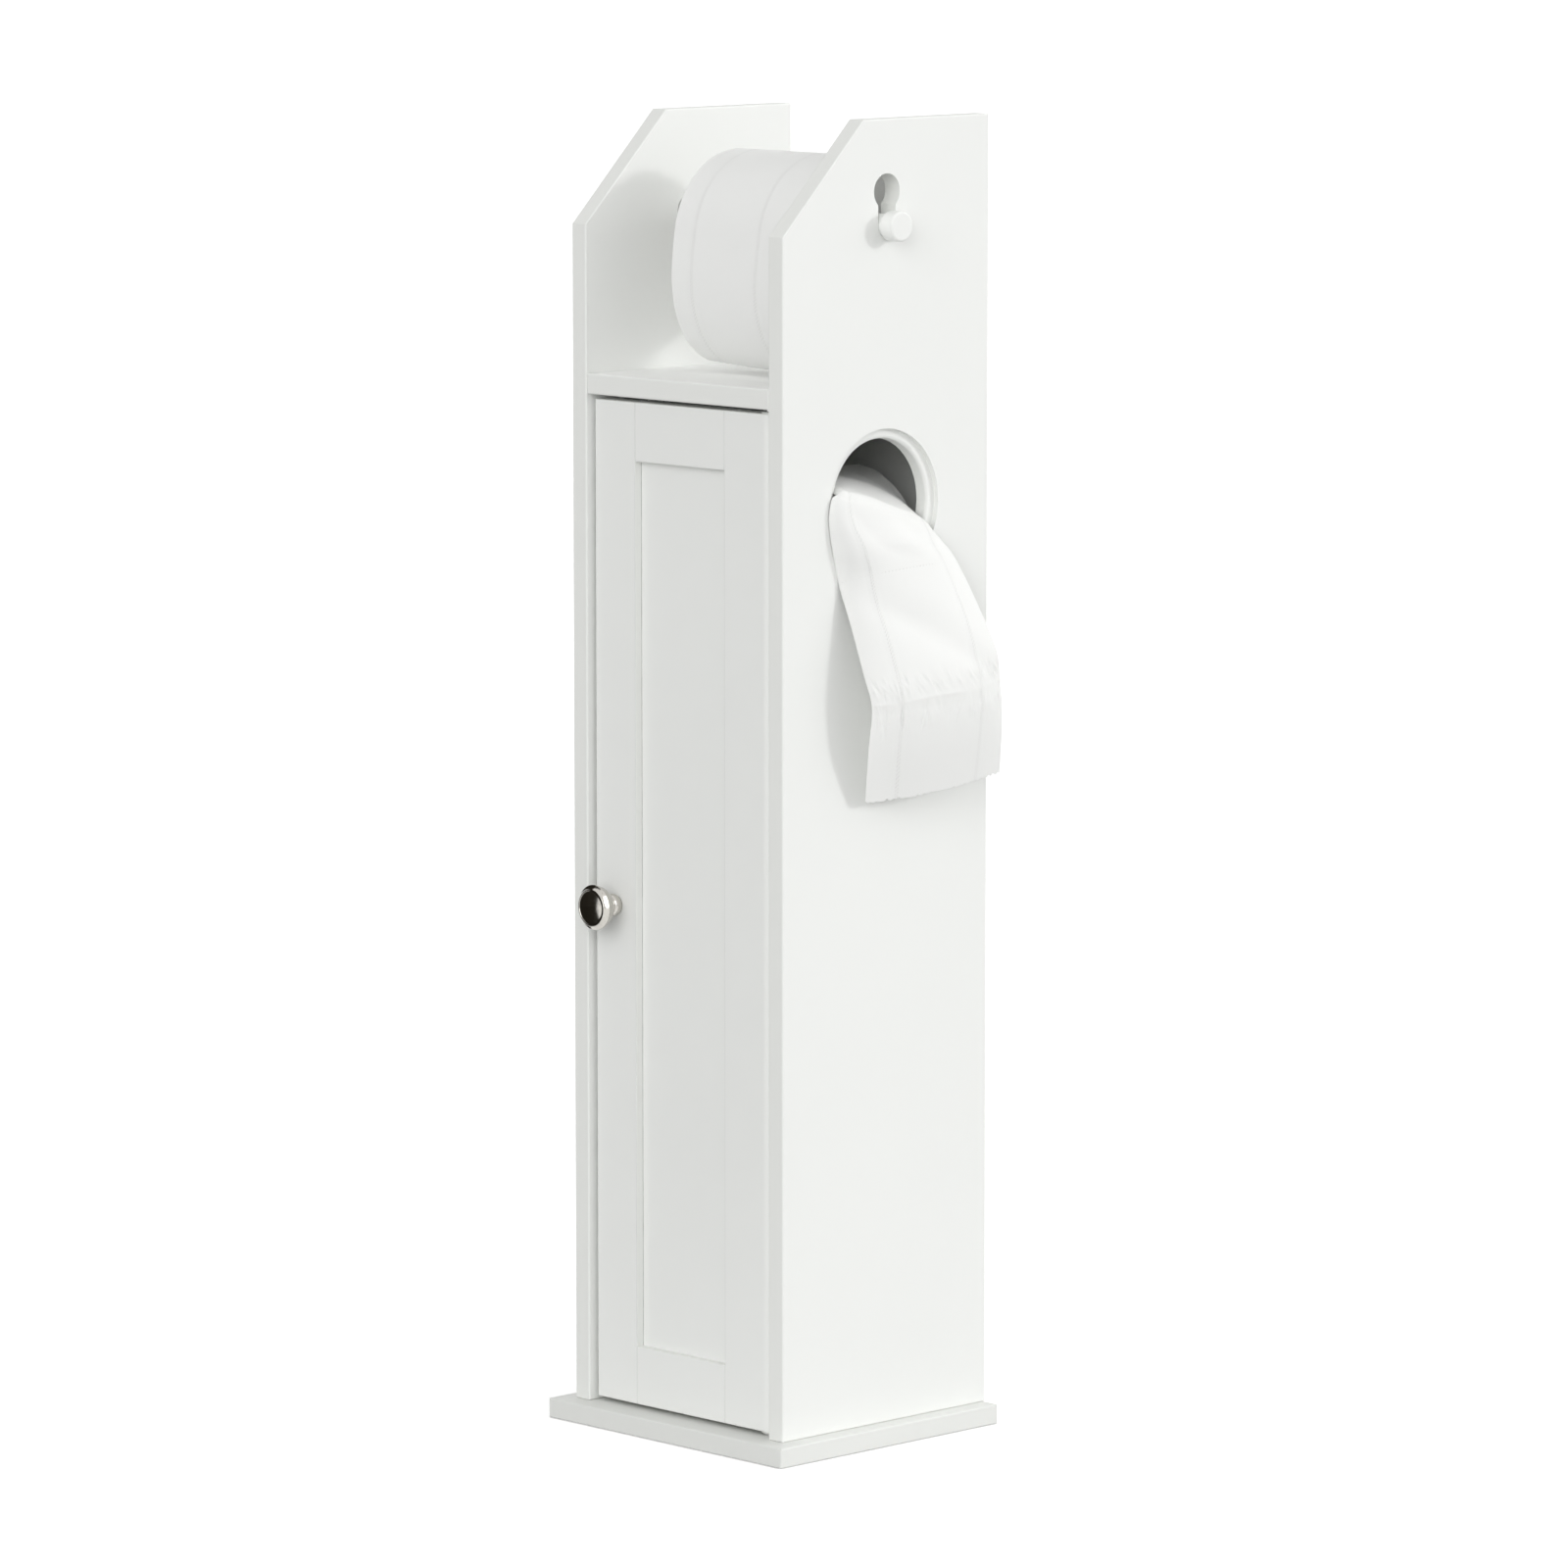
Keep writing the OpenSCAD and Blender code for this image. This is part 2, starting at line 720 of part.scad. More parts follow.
// A pan-head screw whose shank points up from its head
module pan_head(d, l) {
    head_h = d * 0.6;
    difference() {
        rotate_extrude() {
            square([d / 2, l]);
            translate([0, -head_h]) intersection() {
                translate([-d, 0]) eased(2 * d, 2 * head_h, head_h * 0.6);
                square([d, head_h]);
            }
        }
        for (a = [0, 90]) rotate([0, 0, a])
            translate([-d * 0.45, -d * 0.1, -head_h - 1]) cube([d * 0.9, d * 0.2, 1 + d * 0.3]);
    }
}

// ---- Magnetic catch ----

catch_bite = 8;
strike_bite = 9;

function catch_screw_x() = [
    knob_x - catch_l / 2 + ear_l / 2,
    knob_x + catch_l / 2 - ear_l / 2
];

module strike_plate() {
    color(steel) difference() {
        translate([knob_x - strike_w / 2, door_back, strike_z - strike_h / 2])
            along_y(strike_t) eased(strike_w, strike_h, 1.5);
        translate([knob_x, door_back - 1, strike_z])
            rod_y(small_screw_d / 2 + fit, strike_t + 2);
    }
}

// A short screw with a flat head, sunk level with the strike plate
module strike_screw() {
    color(zinc) translate([knob_x, strike_face, strike_z]) rotate([90, 0, 0])
        cylinder(r = small_screw_d / 2, h = strike_bite + strike_t - 0.2);
}

module catch_housing() {
    block = catch_l - 2 * ear_l;
    color(nylon) difference() {
        union() {
            translate([knob_x - block / 2, catch_y, shelf_z - catch_h])
                along_y(catch_d) eased(block, catch_h, 1);
            translate([knob_x - catch_l / 2, catch_y, shelf_z - ear_t])
                linear_extrude(ear_t) eased(catch_l, catch_d, 2.5);
        }
        translate([knob_x - magnet_w / 2, catch_y - 1, magnet_z])
            cube([magnet_w, magnet_d + 1, magnet_h]);
        for (x = catch_screw_x()) translate([x, catch_y + catch_d / 2, shelf_z - ear_t - 1])
            cylinder(r = small_screw_d / 2 + fit, h = ear_t + 2);
    }
}

magnet_d = 8;
magnet_h = 9;
magnet_z = shelf_z - catch_h / 2 - magnet_h / 2 - 0.5;

// A magnet between two pole plates that stand a little proud of it
module catch_magnet() {
    plate = 1.5;
    play = 0.1;
    depth = catch_y + magnet_d - pole_y - play;
    color(steel) union() {
        for (z = [magnet_z + play, magnet_z + magnet_h - plate - play])
            translate([knob_x - magnet_w / 2 + play, pole_y, z])
                cube([magnet_w - 2 * play, depth, plate]);
        translate([knob_x - magnet_w / 2 + play, pole_y + 0.6, magnet_z + play])
            cube([magnet_w - 2 * play, depth - 0.6, magnet_h - 2 * play]);
    }
}

module catch_screws() {
    color(zinc) for (x = catch_screw_x())
        translate([x, catch_y + catch_d / 2, shelf_z - ear_t])
            pan_head(small_screw_d, ear_t + catch_bite);
}

// ---- Bar and rolls ----

// A turned bar: plain rod, neck in the keyhole's slot, and a head outside
module roll_bar() {
    r = bar_d / 2;
    neck = neck_d / 2;
    head = head_d / 2;
    soft = 1.5;
    rod_l = bar_shoulder - bar_left;
    head_at = head_in - bar_left;
    color(paint) translate([bar_left, mid_y, bar_z]) rotate([0, 90, 0]) rotate_extrude() {
        translate([0, 0]) polygon([
            [0, 0], [r - 1, 0], [r, 1], [r, rod_l - 1], [r - 1, rod_l], [neck, rod_l],
            [neck, head_at], [0, head_at]
        ]);
        translate([0, head_at]) intersection() {
            translate([-head, 0]) eased(2 * head, head_t, soft);
            square([head, head_t]);
        }
    }
}

// A ring of wound paper, or a core, standing on Z = 0
module ring(outer, inner, l) {
    rotate_extrude($fn = 128) translate([inner, 0]) square([outer - inner, l]);
}

module wound_paper() {
    soft = 1.5;
    rotate_extrude($fn = 128) difference() {
        translate([core_out + fit, 0]) square([roll_r - core_out - fit, roll_l]);
        for (end = [0, 1]) translate([0, end * roll_l]) mirror([0, end])
            translate([roll_r - soft, 0]) difference() {
                translate([0, -1]) square([soft + 1, soft + 1]);
                translate([0, soft]) circle(soft, $fn = 32);
            }
    }
}

module on_bar() {
    translate([upper_roll_left, mid_y, upper_roll_z]) rotate([0, 90, 0]) children();
}

module on_inner_shelf() {
    translate([lower_roll_x, lower_roll_front, lower_roll_z]) rotate([-90, 0, 0]) children();
}

module upper_roll_paper() {
    color(tissue) on_bar() wound_paper();
}

module upper_roll_core() {
    color(card) on_bar() ring(core_out, core_d / 2, roll_l);
}

module lower_roll_paper() {
    color(tissue) on_inner_shelf() wound_paper();
}

module lower_roll_core() {
    color(card) on_inner_shelf() ring(core_out, core_d / 2, roll_l);
}

// ---- Loose paper ----

function unit(v) = v / norm(v);

function ease(t) = t * t * (3 - 2 * t);

// The normal of a grid of points at column i and row j
function grid_normal(g, i, j) =
    let (
        across = g[min(i + 1, len(g) - 1)][j] - g[max(i - 1, 0)][j],
        along = g[i][min(j + 1, len(g[0]) - 1)] - g[i][max(j - 1, 0)]
    )
    unit(cross(across, along));

// A sheet of thickness paper_t about a grid of points, columns first
module paper_sheet(g) {
    m = len(g);
    n = len(g[0]);
    function upper(i, j) = i * n + j;
    function lower(i, j) = m * n + i * n + j;
    points = [
        for (side = [1, -1], i = [0:m - 1], j = [0:n - 1])
            g[i][j] + side * paper_t / 2 * grid_normal(g, i, j)
    ];
    faces = concat(
        [for (i = [0:m - 2], j = [0:n - 2]) each [
            [upper(i, j), upper(i, j + 1), upper(i + 1, j + 1)],
            [upper(i, j), upper(i + 1, j + 1), upper(i + 1, j)],
            [lower(i, j), lower(i + 1, j + 1), lower(i, j + 1)],
            [lower(i, j), lower(i + 1, j), lower(i + 1, j + 1)]
        ]],
        [for (j = [0:n - 2]) each [
            [upper(0, j), lower(0, j), lower(0, j + 1)],
            [upper(0, j), lower(0, j + 1), upper(0, j + 1)],
            [upper(m - 1, j), lower(m - 1, j + 1), lower(m - 1, j)],
            [upper(m - 1, j), upper(m - 1, j + 1), lower(m - 1, j + 1)]
        ]],
        [for (i = [0:m - 2]) each [
            [upper(i, 0), lower(i + 1, 0), lower(i, 0)],
            [upper(i, 0), upper(i + 1, 0), lower(i + 1, 0)],
            [upper(i, n - 1), lower(i, n - 1), lower(i + 1, n - 1)],
            [upper(i, n - 1), lower(i + 1, n - 1), upper(i + 1, n - 1)]
        ]]
    );
    polyhedron(points, faces);
}

// The upper roll's loose end lies on the roll over the top, then stands away from it
// in front and curls in under it, lower at its right. Angles run from the top (-90)
// down the front.
flap_start = -84;
flap_leave = -10;
flap_r = roll_r + rest_gap + 0.1 + paper_t / 2;
flap_droop = 3.4;

function flap_away(a) = a <= flap_leave ? 0
    : pow(ease(min(1, (a - flap_leave) / (flap_end - flap_leave))), 1.15);

function flap_point(u, v) =
    let (
        a = flap_start + (flap_end - flap_start) * v,
        away = flap_away(a),
        droop = flap_droop * ease(min(1, u / 0.6)),
        r = flap_r + away * (flap_reach - flap_r + droop + 0.5 * sin(540 * u))
    )
    [
        upper_roll_left + roll_l * u,
        mid_y - r * cos(a),
        upper_roll_z - r * sin(a)
    ];

module upper_roll_flap() {
    across = 14;
    along = 26;
    color(tissue) paper_sheet([
        for (i = [0:across]) [for (j = [0:along]) flap_point(i / across, j / along)]
    ]);
}

// The lower paper leaves the roll's top, is drawn together through the round hole,
// and falls outside in an arch that flattens towards its torn end. Each row gives
// the front corner, the rear corner, the arch's height and how far it leans forward.
tail_r = roll_r + rest_gap + paper_t / 2;
tail_end = hole_z - tail_drop;
face_gap = 1.2;
drawn_half = 40;

function over_roll(x, lift) = lower_roll_z + lift
    + sqrt(max(0, pow(tail_r, 2) - pow(x - lower_roll_x, 2)));

function fall(t) = hole_z + (tail_end - hole_z) * t;

tail_rows = [
    [[lower_roll_x, mid_y - roll_l / 2, over_roll(lower_roll_x, 0.5)],
        [lower_roll_x, mid_y + roll_l / 2, over_roll(lower_roll_x, 0.5)], 0, 0.9],
    [[side_in - hole_r, mid_y - roll_l * 0.46, over_roll(side_in - hole_r, 1.3)],
        [side_in - hole_r, mid_y + roll_l * 0.46, over_roll(side_in - hole_r, 1.5)], 3, 0.8],
    [[side_in - hole_r * 0.48, hole_y - hole_r + 0.5, hole_z + 1],
        [side_in - hole_r * 0.48, hole_y + hole_r + 1, hole_z - 1], 13, 0.65],
    [[side_out - 3.5, hole_y - hole_r + 3, hole_z - 10.5],
        [side_in + 8, hole_y + hole_r - 5, hole_z - 14], 23, 0.62],
    [[side_out + face_gap, hole_y - drawn_half - 3, fall(0.135)],
        [side_out + 4.5, hole_y + drawn_half + 2, fall(0.135)], 14, 0.65],
    [[side_out + face_gap, hole_y - drawn_half + 1.5, fall(0.24)],
        [side_out + tail_bulge * 0.25, hole_y + drawn_half + 8, fall(0.2)], 15, 0.7],
    [[side_out + tail_bulge * 0.19, hole_y - drawn_half + 4.5, fall(0.39)],
        [side_out + tail_bulge * 0.54, hole_y + drawn_half + 13, fall(0.34)], 13, 0.75],
    [[side_out + tail_bulge * 0.4, hole_y - drawn_half + 6.5, fall(0.55)],
        [side_out + tail_bulge * 0.86, hole_y + drawn_half + 16.5, fall(0.5)], 10, 0.8],
    [[side_out + tail_bulge * 0.5, hole_y - drawn_half + 9, fall(0.66)],
        [side_out + tail_bulge * 0.9, hole_y + drawn_half + 18.5, fall(0.61)], 9, 0.9],
    [[side_out + tail_bulge * 0.42, hole_y - drawn_half + 10, fall(0.8)],
        [side_out + tail_bulge * 0.85, hole_y + drawn_half + 21.5, fall(0.76)], 7, 1],
    [[side_out + tail_bulge * 0.19, hole_y - drawn_half + 16.5, fall(1)],
        [side_out + tail_bulge * 0.7, hole_y + drawn_half + 26, fall(0.93)], 5, 1]
];

// A smooth curve through the rows: value k of every row, at place t from 0 to 1
function along_rows(k, t) =
    let (
        last = len(tail_rows) - 1,
        s = min(t * last, last - 0.0001),
        i = floor(s),
        f = s - i,
        p0 = tail_rows[max(i - 1, 0)][k],
        p1 = tail_rows[i][k],
        p2 = tail_rows[i + 1][k],
        p3 = tail_rows[min(i + 2, last)][k]
    )
    0.5 * (2 * p1 + (p2 - p0) * f + (2 * p0 - 5 * p1 + 4 * p2 - p3) * f * f
        + (3 * p1 - p0 - 3 * p2 + p3) * f * f * f);

// A soft fold runs slantwise across the falling part, from the front to the rear
fold_depth = 3;

function fold(u, v) =
    let (
        centre = 0.15 + 0.75 * ease(min(1, max(0, (v - 0.5) / 0.3))),
        window = max(0, sin(180 * min(1, max(0, (v - 0.48) / 0.36))))
    )
    -fold_depth * window * exp(-pow((u - centre) / 0.16, 2));

function tail_point(u, v) =
    let (
        front = along_rows(0, v),
        rear = along_rows(1, v),
        ahead = min(v + 0.01, 1),
        behind = max(v - 0.01, 0),
        run = along_rows(0, ahead) + along_rows(1, ahead)
            - along_rows(0, behind) - along_rows(1, behind),
        out = unit(cross(run, rear - front)),
        arch = along_rows(2, v),
        place = u - arch / 40 * sin(360 * u) / 6.283
    )
    front + (rear - front) * place
        + out * (arch * sin(180 * pow(u, along_rows(3, v))) + fold(u, v));

module paper_tail() {
    across = 16;
    along = 32;
    color(tissue) paper_sheet([
        for (i = [0:across]) [for (j = [0:along]) tail_point(i / across, j / along)]
    ]);
}

// ---- Drawing ----

base_plate();
left_side_panel();
right_side_panel();
fixed_shelf();
back_panel();
inner_shelf();
shelf_pins();
wood_dowels();
cam_locks();
cam_bolts();
base_screws();
hinge_pins();
hinge_bushes();
door_knob_stile();
door_hinge_stile();
door_top_rail();
door_bottom_rail();
door_panel();
door_knob();
knob_screw();
strike_plate();
strike_screw();
catch_housing();
catch_magnet();
catch_screws();
roll_bar();
upper_roll_paper();
upper_roll_core();
upper_roll_flap();
lower_roll_paper();
lower_roll_core();
paper_tail();
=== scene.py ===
# The toilet roll storage cabinet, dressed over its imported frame. Metres, +Z up. The
# door faces -Y and the round hole is in the side panel at +X.
import math
import random

import bmesh
import bpy
import numpy as np
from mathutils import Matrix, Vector


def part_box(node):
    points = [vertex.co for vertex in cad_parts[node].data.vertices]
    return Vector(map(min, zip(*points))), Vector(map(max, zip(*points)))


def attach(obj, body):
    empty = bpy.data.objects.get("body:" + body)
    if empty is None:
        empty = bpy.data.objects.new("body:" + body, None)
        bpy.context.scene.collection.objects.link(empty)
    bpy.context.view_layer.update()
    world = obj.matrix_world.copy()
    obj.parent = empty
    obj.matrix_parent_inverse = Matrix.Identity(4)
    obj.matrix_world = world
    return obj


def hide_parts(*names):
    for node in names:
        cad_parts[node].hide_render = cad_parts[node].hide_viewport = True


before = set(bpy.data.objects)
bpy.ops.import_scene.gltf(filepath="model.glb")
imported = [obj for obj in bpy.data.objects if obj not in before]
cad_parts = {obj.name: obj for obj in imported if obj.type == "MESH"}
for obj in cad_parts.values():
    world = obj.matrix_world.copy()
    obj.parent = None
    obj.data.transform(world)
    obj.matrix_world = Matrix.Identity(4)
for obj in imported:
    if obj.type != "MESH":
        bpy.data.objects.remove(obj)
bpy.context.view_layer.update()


# ---- Base plate ----
# A wide fibreboard plate, cut to size and sanded round, then sprayed in white satin.
# The spray leaves a fine orange peel on the faces. The cut edges drink more paint, so
# they are a little duller and greyer.

MM = 0.001
PAINT_WHITE = (0.86, 0.87, 0.85, 1)
PAINT_ON_EDGES = (0.83, 0.84, 0.815, 1)
# The base plate's paint is darker than the rest, all over: painted shade for the shade over its top
BASE_PAINT_WITH_PAINTED_SHADE = (0.79, 0.8, 0.775, 1)
PEEL_DEPTH = 0.018 * MM
HAIR_LINE = (0.25 * MM, 0.6 * MM)
FAR_OFF = 9.0


def add(tree, kind, settings=None, **inputs):
    """A shader node. An input takes a value, or another node's output to link to. It
    goes by its name, or by its place as i0, i1 and so on."""
    made = tree.nodes.new(kind)
    for key, value in (settings or {}).items():
        setattr(made, key, value)
    for key, value in inputs.items():
        by_place = key[0] == "i" and key[1:].isdigit()
        socket = made.inputs[int(key[1:]) if by_place else key.replace("_", " ")]
        if isinstance(value, bpy.types.NodeSocket):
            tree.links.new(value, socket)
        else:
            socket.default_value = value
    return made


def by_places(values):
    return {f"i{place}": value for place, value in enumerate(values)}


def maths(tree, operation, *values):
    return add(tree, "ShaderNodeMath", {"operation": operation}, **by_places(values)).outputs[0]


def plus(tree, first, second):
    return maths(tree, "ADD", first, second)


def minus(tree, first, second):
    return maths(tree, "SUBTRACT", first, second)


def times(tree, first, second):
    return maths(tree, "MULTIPLY", first, second)


def apart(tree, first, second):
    """How far apart two values are."""
    return maths(tree, "ABSOLUTE", minus(tree, first, second))


def vector_maths(tree, operation, *values, output="Vector"):
    made = add(tree, "ShaderNodeVectorMath", {"operation": operation}, **by_places(values))
    return made.outputs[output]


def spread(tree, value, source, target):
    """A value's place in source, as the same place in target, and no further."""
    return add(tree, "ShaderNodeMapRange", **by_places((value, *source, *target))).outputs[0]


def noise(tree, place, per_metre, detail=2.0, roughness=0.5):
    made = add(tree, "ShaderNodeTexNoise",
               Vector=place, Scale=per_metre, Detail=detail, Roughness=roughness)
    return made.outputs[0]


def object_place(tree):
    return add(tree, "ShaderNodeTexCoord").outputs["Object"]


def blend_colours(tree, share, first, second):
    made = add(tree, "ShaderNodeMix", {"data_type": "RGBA"}, i0=share, i6=first, i7=second)
    return made.outputs[2]


def toned(tree, colour, tone):
    """A colour, made lighter or darker by a tone."""
    made = add(tree, "ShaderNodeVectorMath", {"operation": "SCALE"}, i0=colour, Scale=tone)
    return made.outputs[0]


def relief(tree, height, strength, depth):
    """The normal over small relief, whose height from 0 to 1 is depth in metres."""
    made = add(tree, "ShaderNodeBump", Strength=strength, Distance=depth, Height=height)
    return made.outputs[0]


def new_finish(name, inputs):
    """A node group for a finish. Returns it and the sockets of its named inputs: a
    number, a direction or place of three numbers, or a colour of four."""
    group = bpy.data.node_groups.new(name, "ShaderNodeTree")
    for label, value in inputs.items():
        kind = "Float" if isinstance(value, float) else ("Vector", "Color")[len(value) - 3]
        socket = group.interface.new_socket(label, in_out="INPUT", socket_type="NodeSocket" + kind)
        socket.default_value = value
    for label, kind in (("Colour", "Color"), ("Roughness", "Float"), ("Normal", "Vector")):
        group.interface.new_socket(label, in_out="OUTPUT", socket_type="NodeSocket" + kind)
    return group, group.nodes.new("NodeGroupInput").outputs


def put_out(finish, colour, roughness, normal):
    add(finish, "NodeGroupOutput", Colour=colour, Roughness=roughness, Normal=normal)


def new_material(name, finish, values, **surface):
    """A material whose surface takes its colour, roughness and normal from a finish."""
    material = bpy.data.materials.new(name)
    material.use_nodes = True
    tree = material.node_tree
    shader = tree.nodes["Principled BSDF"]
    look = add(tree, "ShaderNodeGroup", {"node_tree": finish}, **values)
    tree.links.new(look.outputs["Colour"], shader.inputs["Base Color"])
    tree.links.new(look.outputs["Roughness"], shader.inputs["Roughness"])
    tree.links.new(look.outputs["Normal"], shader.inputs["Normal"])
    for label, value in surface.items():
        shader.inputs[label.replace("_", " ")].default_value = value
    return material


def dress(material, *nodes):
    for node in nodes:
        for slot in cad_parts[node].material_slots:
            slot.material = material


paint, given = new_finish("Sprayed paint", {
    "Colour": PAINT_WHITE,
    "Edge colour": PAINT_ON_EDGES,
    "Board normal": (0, 0, 1),
    "Peel per metre": 620.0,
    "Dullness": 0.42,
    "Left joint": -FAR_OFF,
    "Right joint": FAR_OFF,
    "Joint shade": 0.0,
})
place = object_place(paint)
peel = noise(paint, place, given["Peel per metre"], detail=3, roughness=0.45)
sanding = noise(paint, place, 60, detail=3, roughness=0.6)
fibres = noise(paint, place, 2600, roughness=0.7)
cloud = noise(paint, place, 7)
facing = vector_maths(paint, "DOT_PRODUCT", add(paint, "ShaderNodeTexCoord").outputs["Normal"],
                      given["Board normal"], output="Value")
cut_edge = spread(paint, maths(paint, "ABSOLUTE", facing), (0.55, 0.95), (1, 0))

# Where two boards meet under one coat, a hair line shows, fainter here and there
across = add(paint, "ShaderNodeSeparateXYZ", i0=place).outputs["X"]
to_joint = maths(paint, "MINIMUM", apart(paint, across, given["Left joint"]),
                 apart(paint, across, given["Right joint"]))
hair_line = times(paint, spread(paint, to_joint, HAIR_LINE, (1, 0)), minus(paint, 1.0, cut_edge))
patchy = spread(paint, sanding, (0.35, 0.65), (0.6, 1))
hair_line = times(paint, hair_line, times(paint, given["Joint shade"], patchy))

coat = blend_colours(paint, cut_edge, given["Colour"], given["Edge colour"])
tone = minus(paint, spread(paint, cloud, (0.3, 0.7), (0.985, 1)), hair_line)
satin = plus(paint, given["Dullness"], spread(paint, sanding, (0.3, 0.7), (-0.05, 0.06)))
satin = plus(paint, satin, times(paint, cut_edge, 0.12))
raised = plus(paint, peel, times(paint, fibres, times(paint, cut_edge, 0.9)))
put_out(paint, toned(paint, coat, tone), satin, relief(paint, raised, 0.8, PEEL_DEPTH))

# The base plate is dressed in the darker paint, as painted shade
dress(
    new_material("Paint on the base plate, with painted shade", paint, {
        "Board normal": (0, 0, 1), "Colour": BASE_PAINT_WITH_PAINTED_SHADE, "Edge colour": BASE_PAINT_WITH_PAINTED_SHADE,
    }),
    "base_plate",
)


# ---- Side panels ----
# Two tall fibreboard panels with the front corner of the top cut off at 45 degrees.
# The right one has the stepped round hole and the keyhole, routed before painting.

dress(
    new_material("Paint on a side panel", paint, {"Board normal": (1, 0, 0)}),
    "left_side_panel", "right_side_panel",
)


# ---- Fixed shelf and inner shelf ----
# The fixed shelf parts the open bay from the closed one. Dowels and cam locks hold its
# ends. The inner shelf carries the lower roll and lies loose on four steel pins.

# The fixed shelf's paint is lighter than the rest: painted light, for the light that falls on its
# top
SHELF_WHITE_WITH_PAINTED_LIGHT = (0.93, 0.935, 0.92, 1)

dress(
    new_material("Paint on the inner shelf", paint, {"Board normal": (0, 0, 1)}),
    "inner_shelf",
)
dress(
    new_material("Paint on the fixed shelf, with painted light", paint, {
        "Board normal": (0, 0, 1), "Colour": SHELF_WHITE_WITH_PAINTED_LIGHT,
    }),
    "fixed_shelf",
)


# ---- Back panel ----
# Thin hardboard behind the closed bay, slid into grooves in the side panels. Its smooth
# face is painted with a roller, which leaves it duller and with a coarser peel.

dress(
    new_material("Paint on hardboard", paint, {
        "Board normal": (0, 1, 0), "Peel per metre": 380.0, "Dullness": 0.55,
    }),
    "back_panel",
)


# ---- Dowels ----
# Turned beech with pressed flutes, glued across the joints of shelf, base and sides.
# The wood is left bare, with the short dark flecks of beech along its grain.

BEECH = (0.56, 0.36, 0.18, 1)
BEECH_FLECK = (0.36, 0.2, 0.09, 1)
FLECKS_PER_METRE = (90, 900, 900)

beech, given = new_finish("Beech", {"Colour": BEECH, "Fleck": BEECH_FLECK})
grain = add(beech, "ShaderNodeMapping", Vector=object_place(beech), Scale=FLECKS_PER_METRE)
fleck = spread(beech, noise(beech, grain.outputs[0], 1, detail=4, roughness=0.6),
               (0.52, 0.68), (0, 1))
put_out(
    beech,
    blend_colours(beech, fleck, given["Colour"], given["Fleck"]),
    spread(beech, fleck, (0, 1), (0.6, 0.75)),
    relief(beech, fleck, 0.5, 0.03 * MM),
)
dress(new_material("Bare beech", beech, {}), "wood_dowels")


# ---- Screws, cam fittings and pins ----
# Screws and pins of plated steel, and cams cast in zinc. The plating is cloudy, and
# turned pieces keep the fine rings of the lathe.

ZINC = (0.52, 0.52, 0.51, 1)
STEEL = (0.66, 0.66, 0.66, 1)
RINGS_PER_METRE = (9000, 900, 9000)

metal, given = new_finish("Plated metal", {
    "Colour": (0.6, 0.6, 0.6, 1),
    "Dullness": 0.35,
    "Clouds per metre": 420.0,
})
place = object_place(metal)
cloud = noise(metal, place, given["Clouds per metre"], detail=3, roughness=0.6)
lathe_rings = add(metal, "ShaderNodeMapping", Vector=place, Scale=RINGS_PER_METRE)
scratch = noise(metal, lathe_rings.outputs[0], 1, roughness=0.6)
put_out(
    metal,
    toned(metal, given["Colour"], spread(metal, cloud, (0.35, 0.65), (0.82, 1))),
    plus(metal, given["Dullness"], spread(metal, cloud, (0.35, 0.65), (0.12, -0.05))),
    relief(metal, scratch, 0.4, 0.008 * MM),
)
zinc = new_material("Zinc plate", metal, {"Colour": ZINC, "Dullness": 0.42}, Metallic=1.0)
steel = new_material("Bright steel", metal, {"Colour": STEEL, "Dullness": 0.26}, Metallic=1.0)
dress(zinc, "cam_locks", "cam_bolts", "base_screws", "knob_screw", "strike_screw",
      "catch_screws")
dress(steel, "shelf_pins", "strike_plate")


# ---- Door ----
# Two stiles and two rails of fibreboard, grooved for the thin panel between them. The
# door is sprayed after it is glued up, so only hair lines show where the pieces meet.

DOOR_FACE = {
    "Board normal": (0, 1, 0),
    "Left joint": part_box("door_knob_stile")[1].x,
    "Right joint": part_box("door_hinge_stile")[0].x,
}

dress(
    new_material("Paint on the door frame", paint, {**DOOR_FACE, "Joint shade": 0.2}),
    "door_knob_stile", "door_hinge_stile", "door_top_rail", "door_bottom_rail",
)
dress(
    new_material("Paint on the door panel", paint, {**DOOR_FACE, "Joint shade": 0.5}),
    "door_panel",
)


# ---- Hinge pins and bushes ----
# Steel pins with collars stand in the base and hang from the fixed shelf. The door's
# hinge stile turns on them, with a flanged bush of moulded nylon in each end.

nylon_look, given = new_finish("Moulded nylon", {"Colour": (0.74, 0.74, 0.7, 1)})
place = object_place(nylon_look)
frost = noise(nylon_look, place, 1500, roughness=0.6)
flow = noise(nylon_look, place, 90)
put_out(
    nylon_look,
    toned(nylon_look, given["Colour"], spread(nylon_look, flow, (0.35, 0.65), (0.93, 1))),
    spread(nylon_look, frost, (0.3, 0.7), (0.4, 0.55)),
    relief(nylon_look, frost, 0.5, 0.01 * MM),
)
nylon = new_material("Nylon", nylon_look, {}, Subsurface_Weight=0.1)
dress(steel, "hinge_pins")
dress(nylon, "hinge_bushes")


# ---- Knob ----
# A mushroom knob, cast, turned and plated in antique pewter, held by a screw from
# inside. The turned face keeps rings of tool marks, and patina sits in its groove.

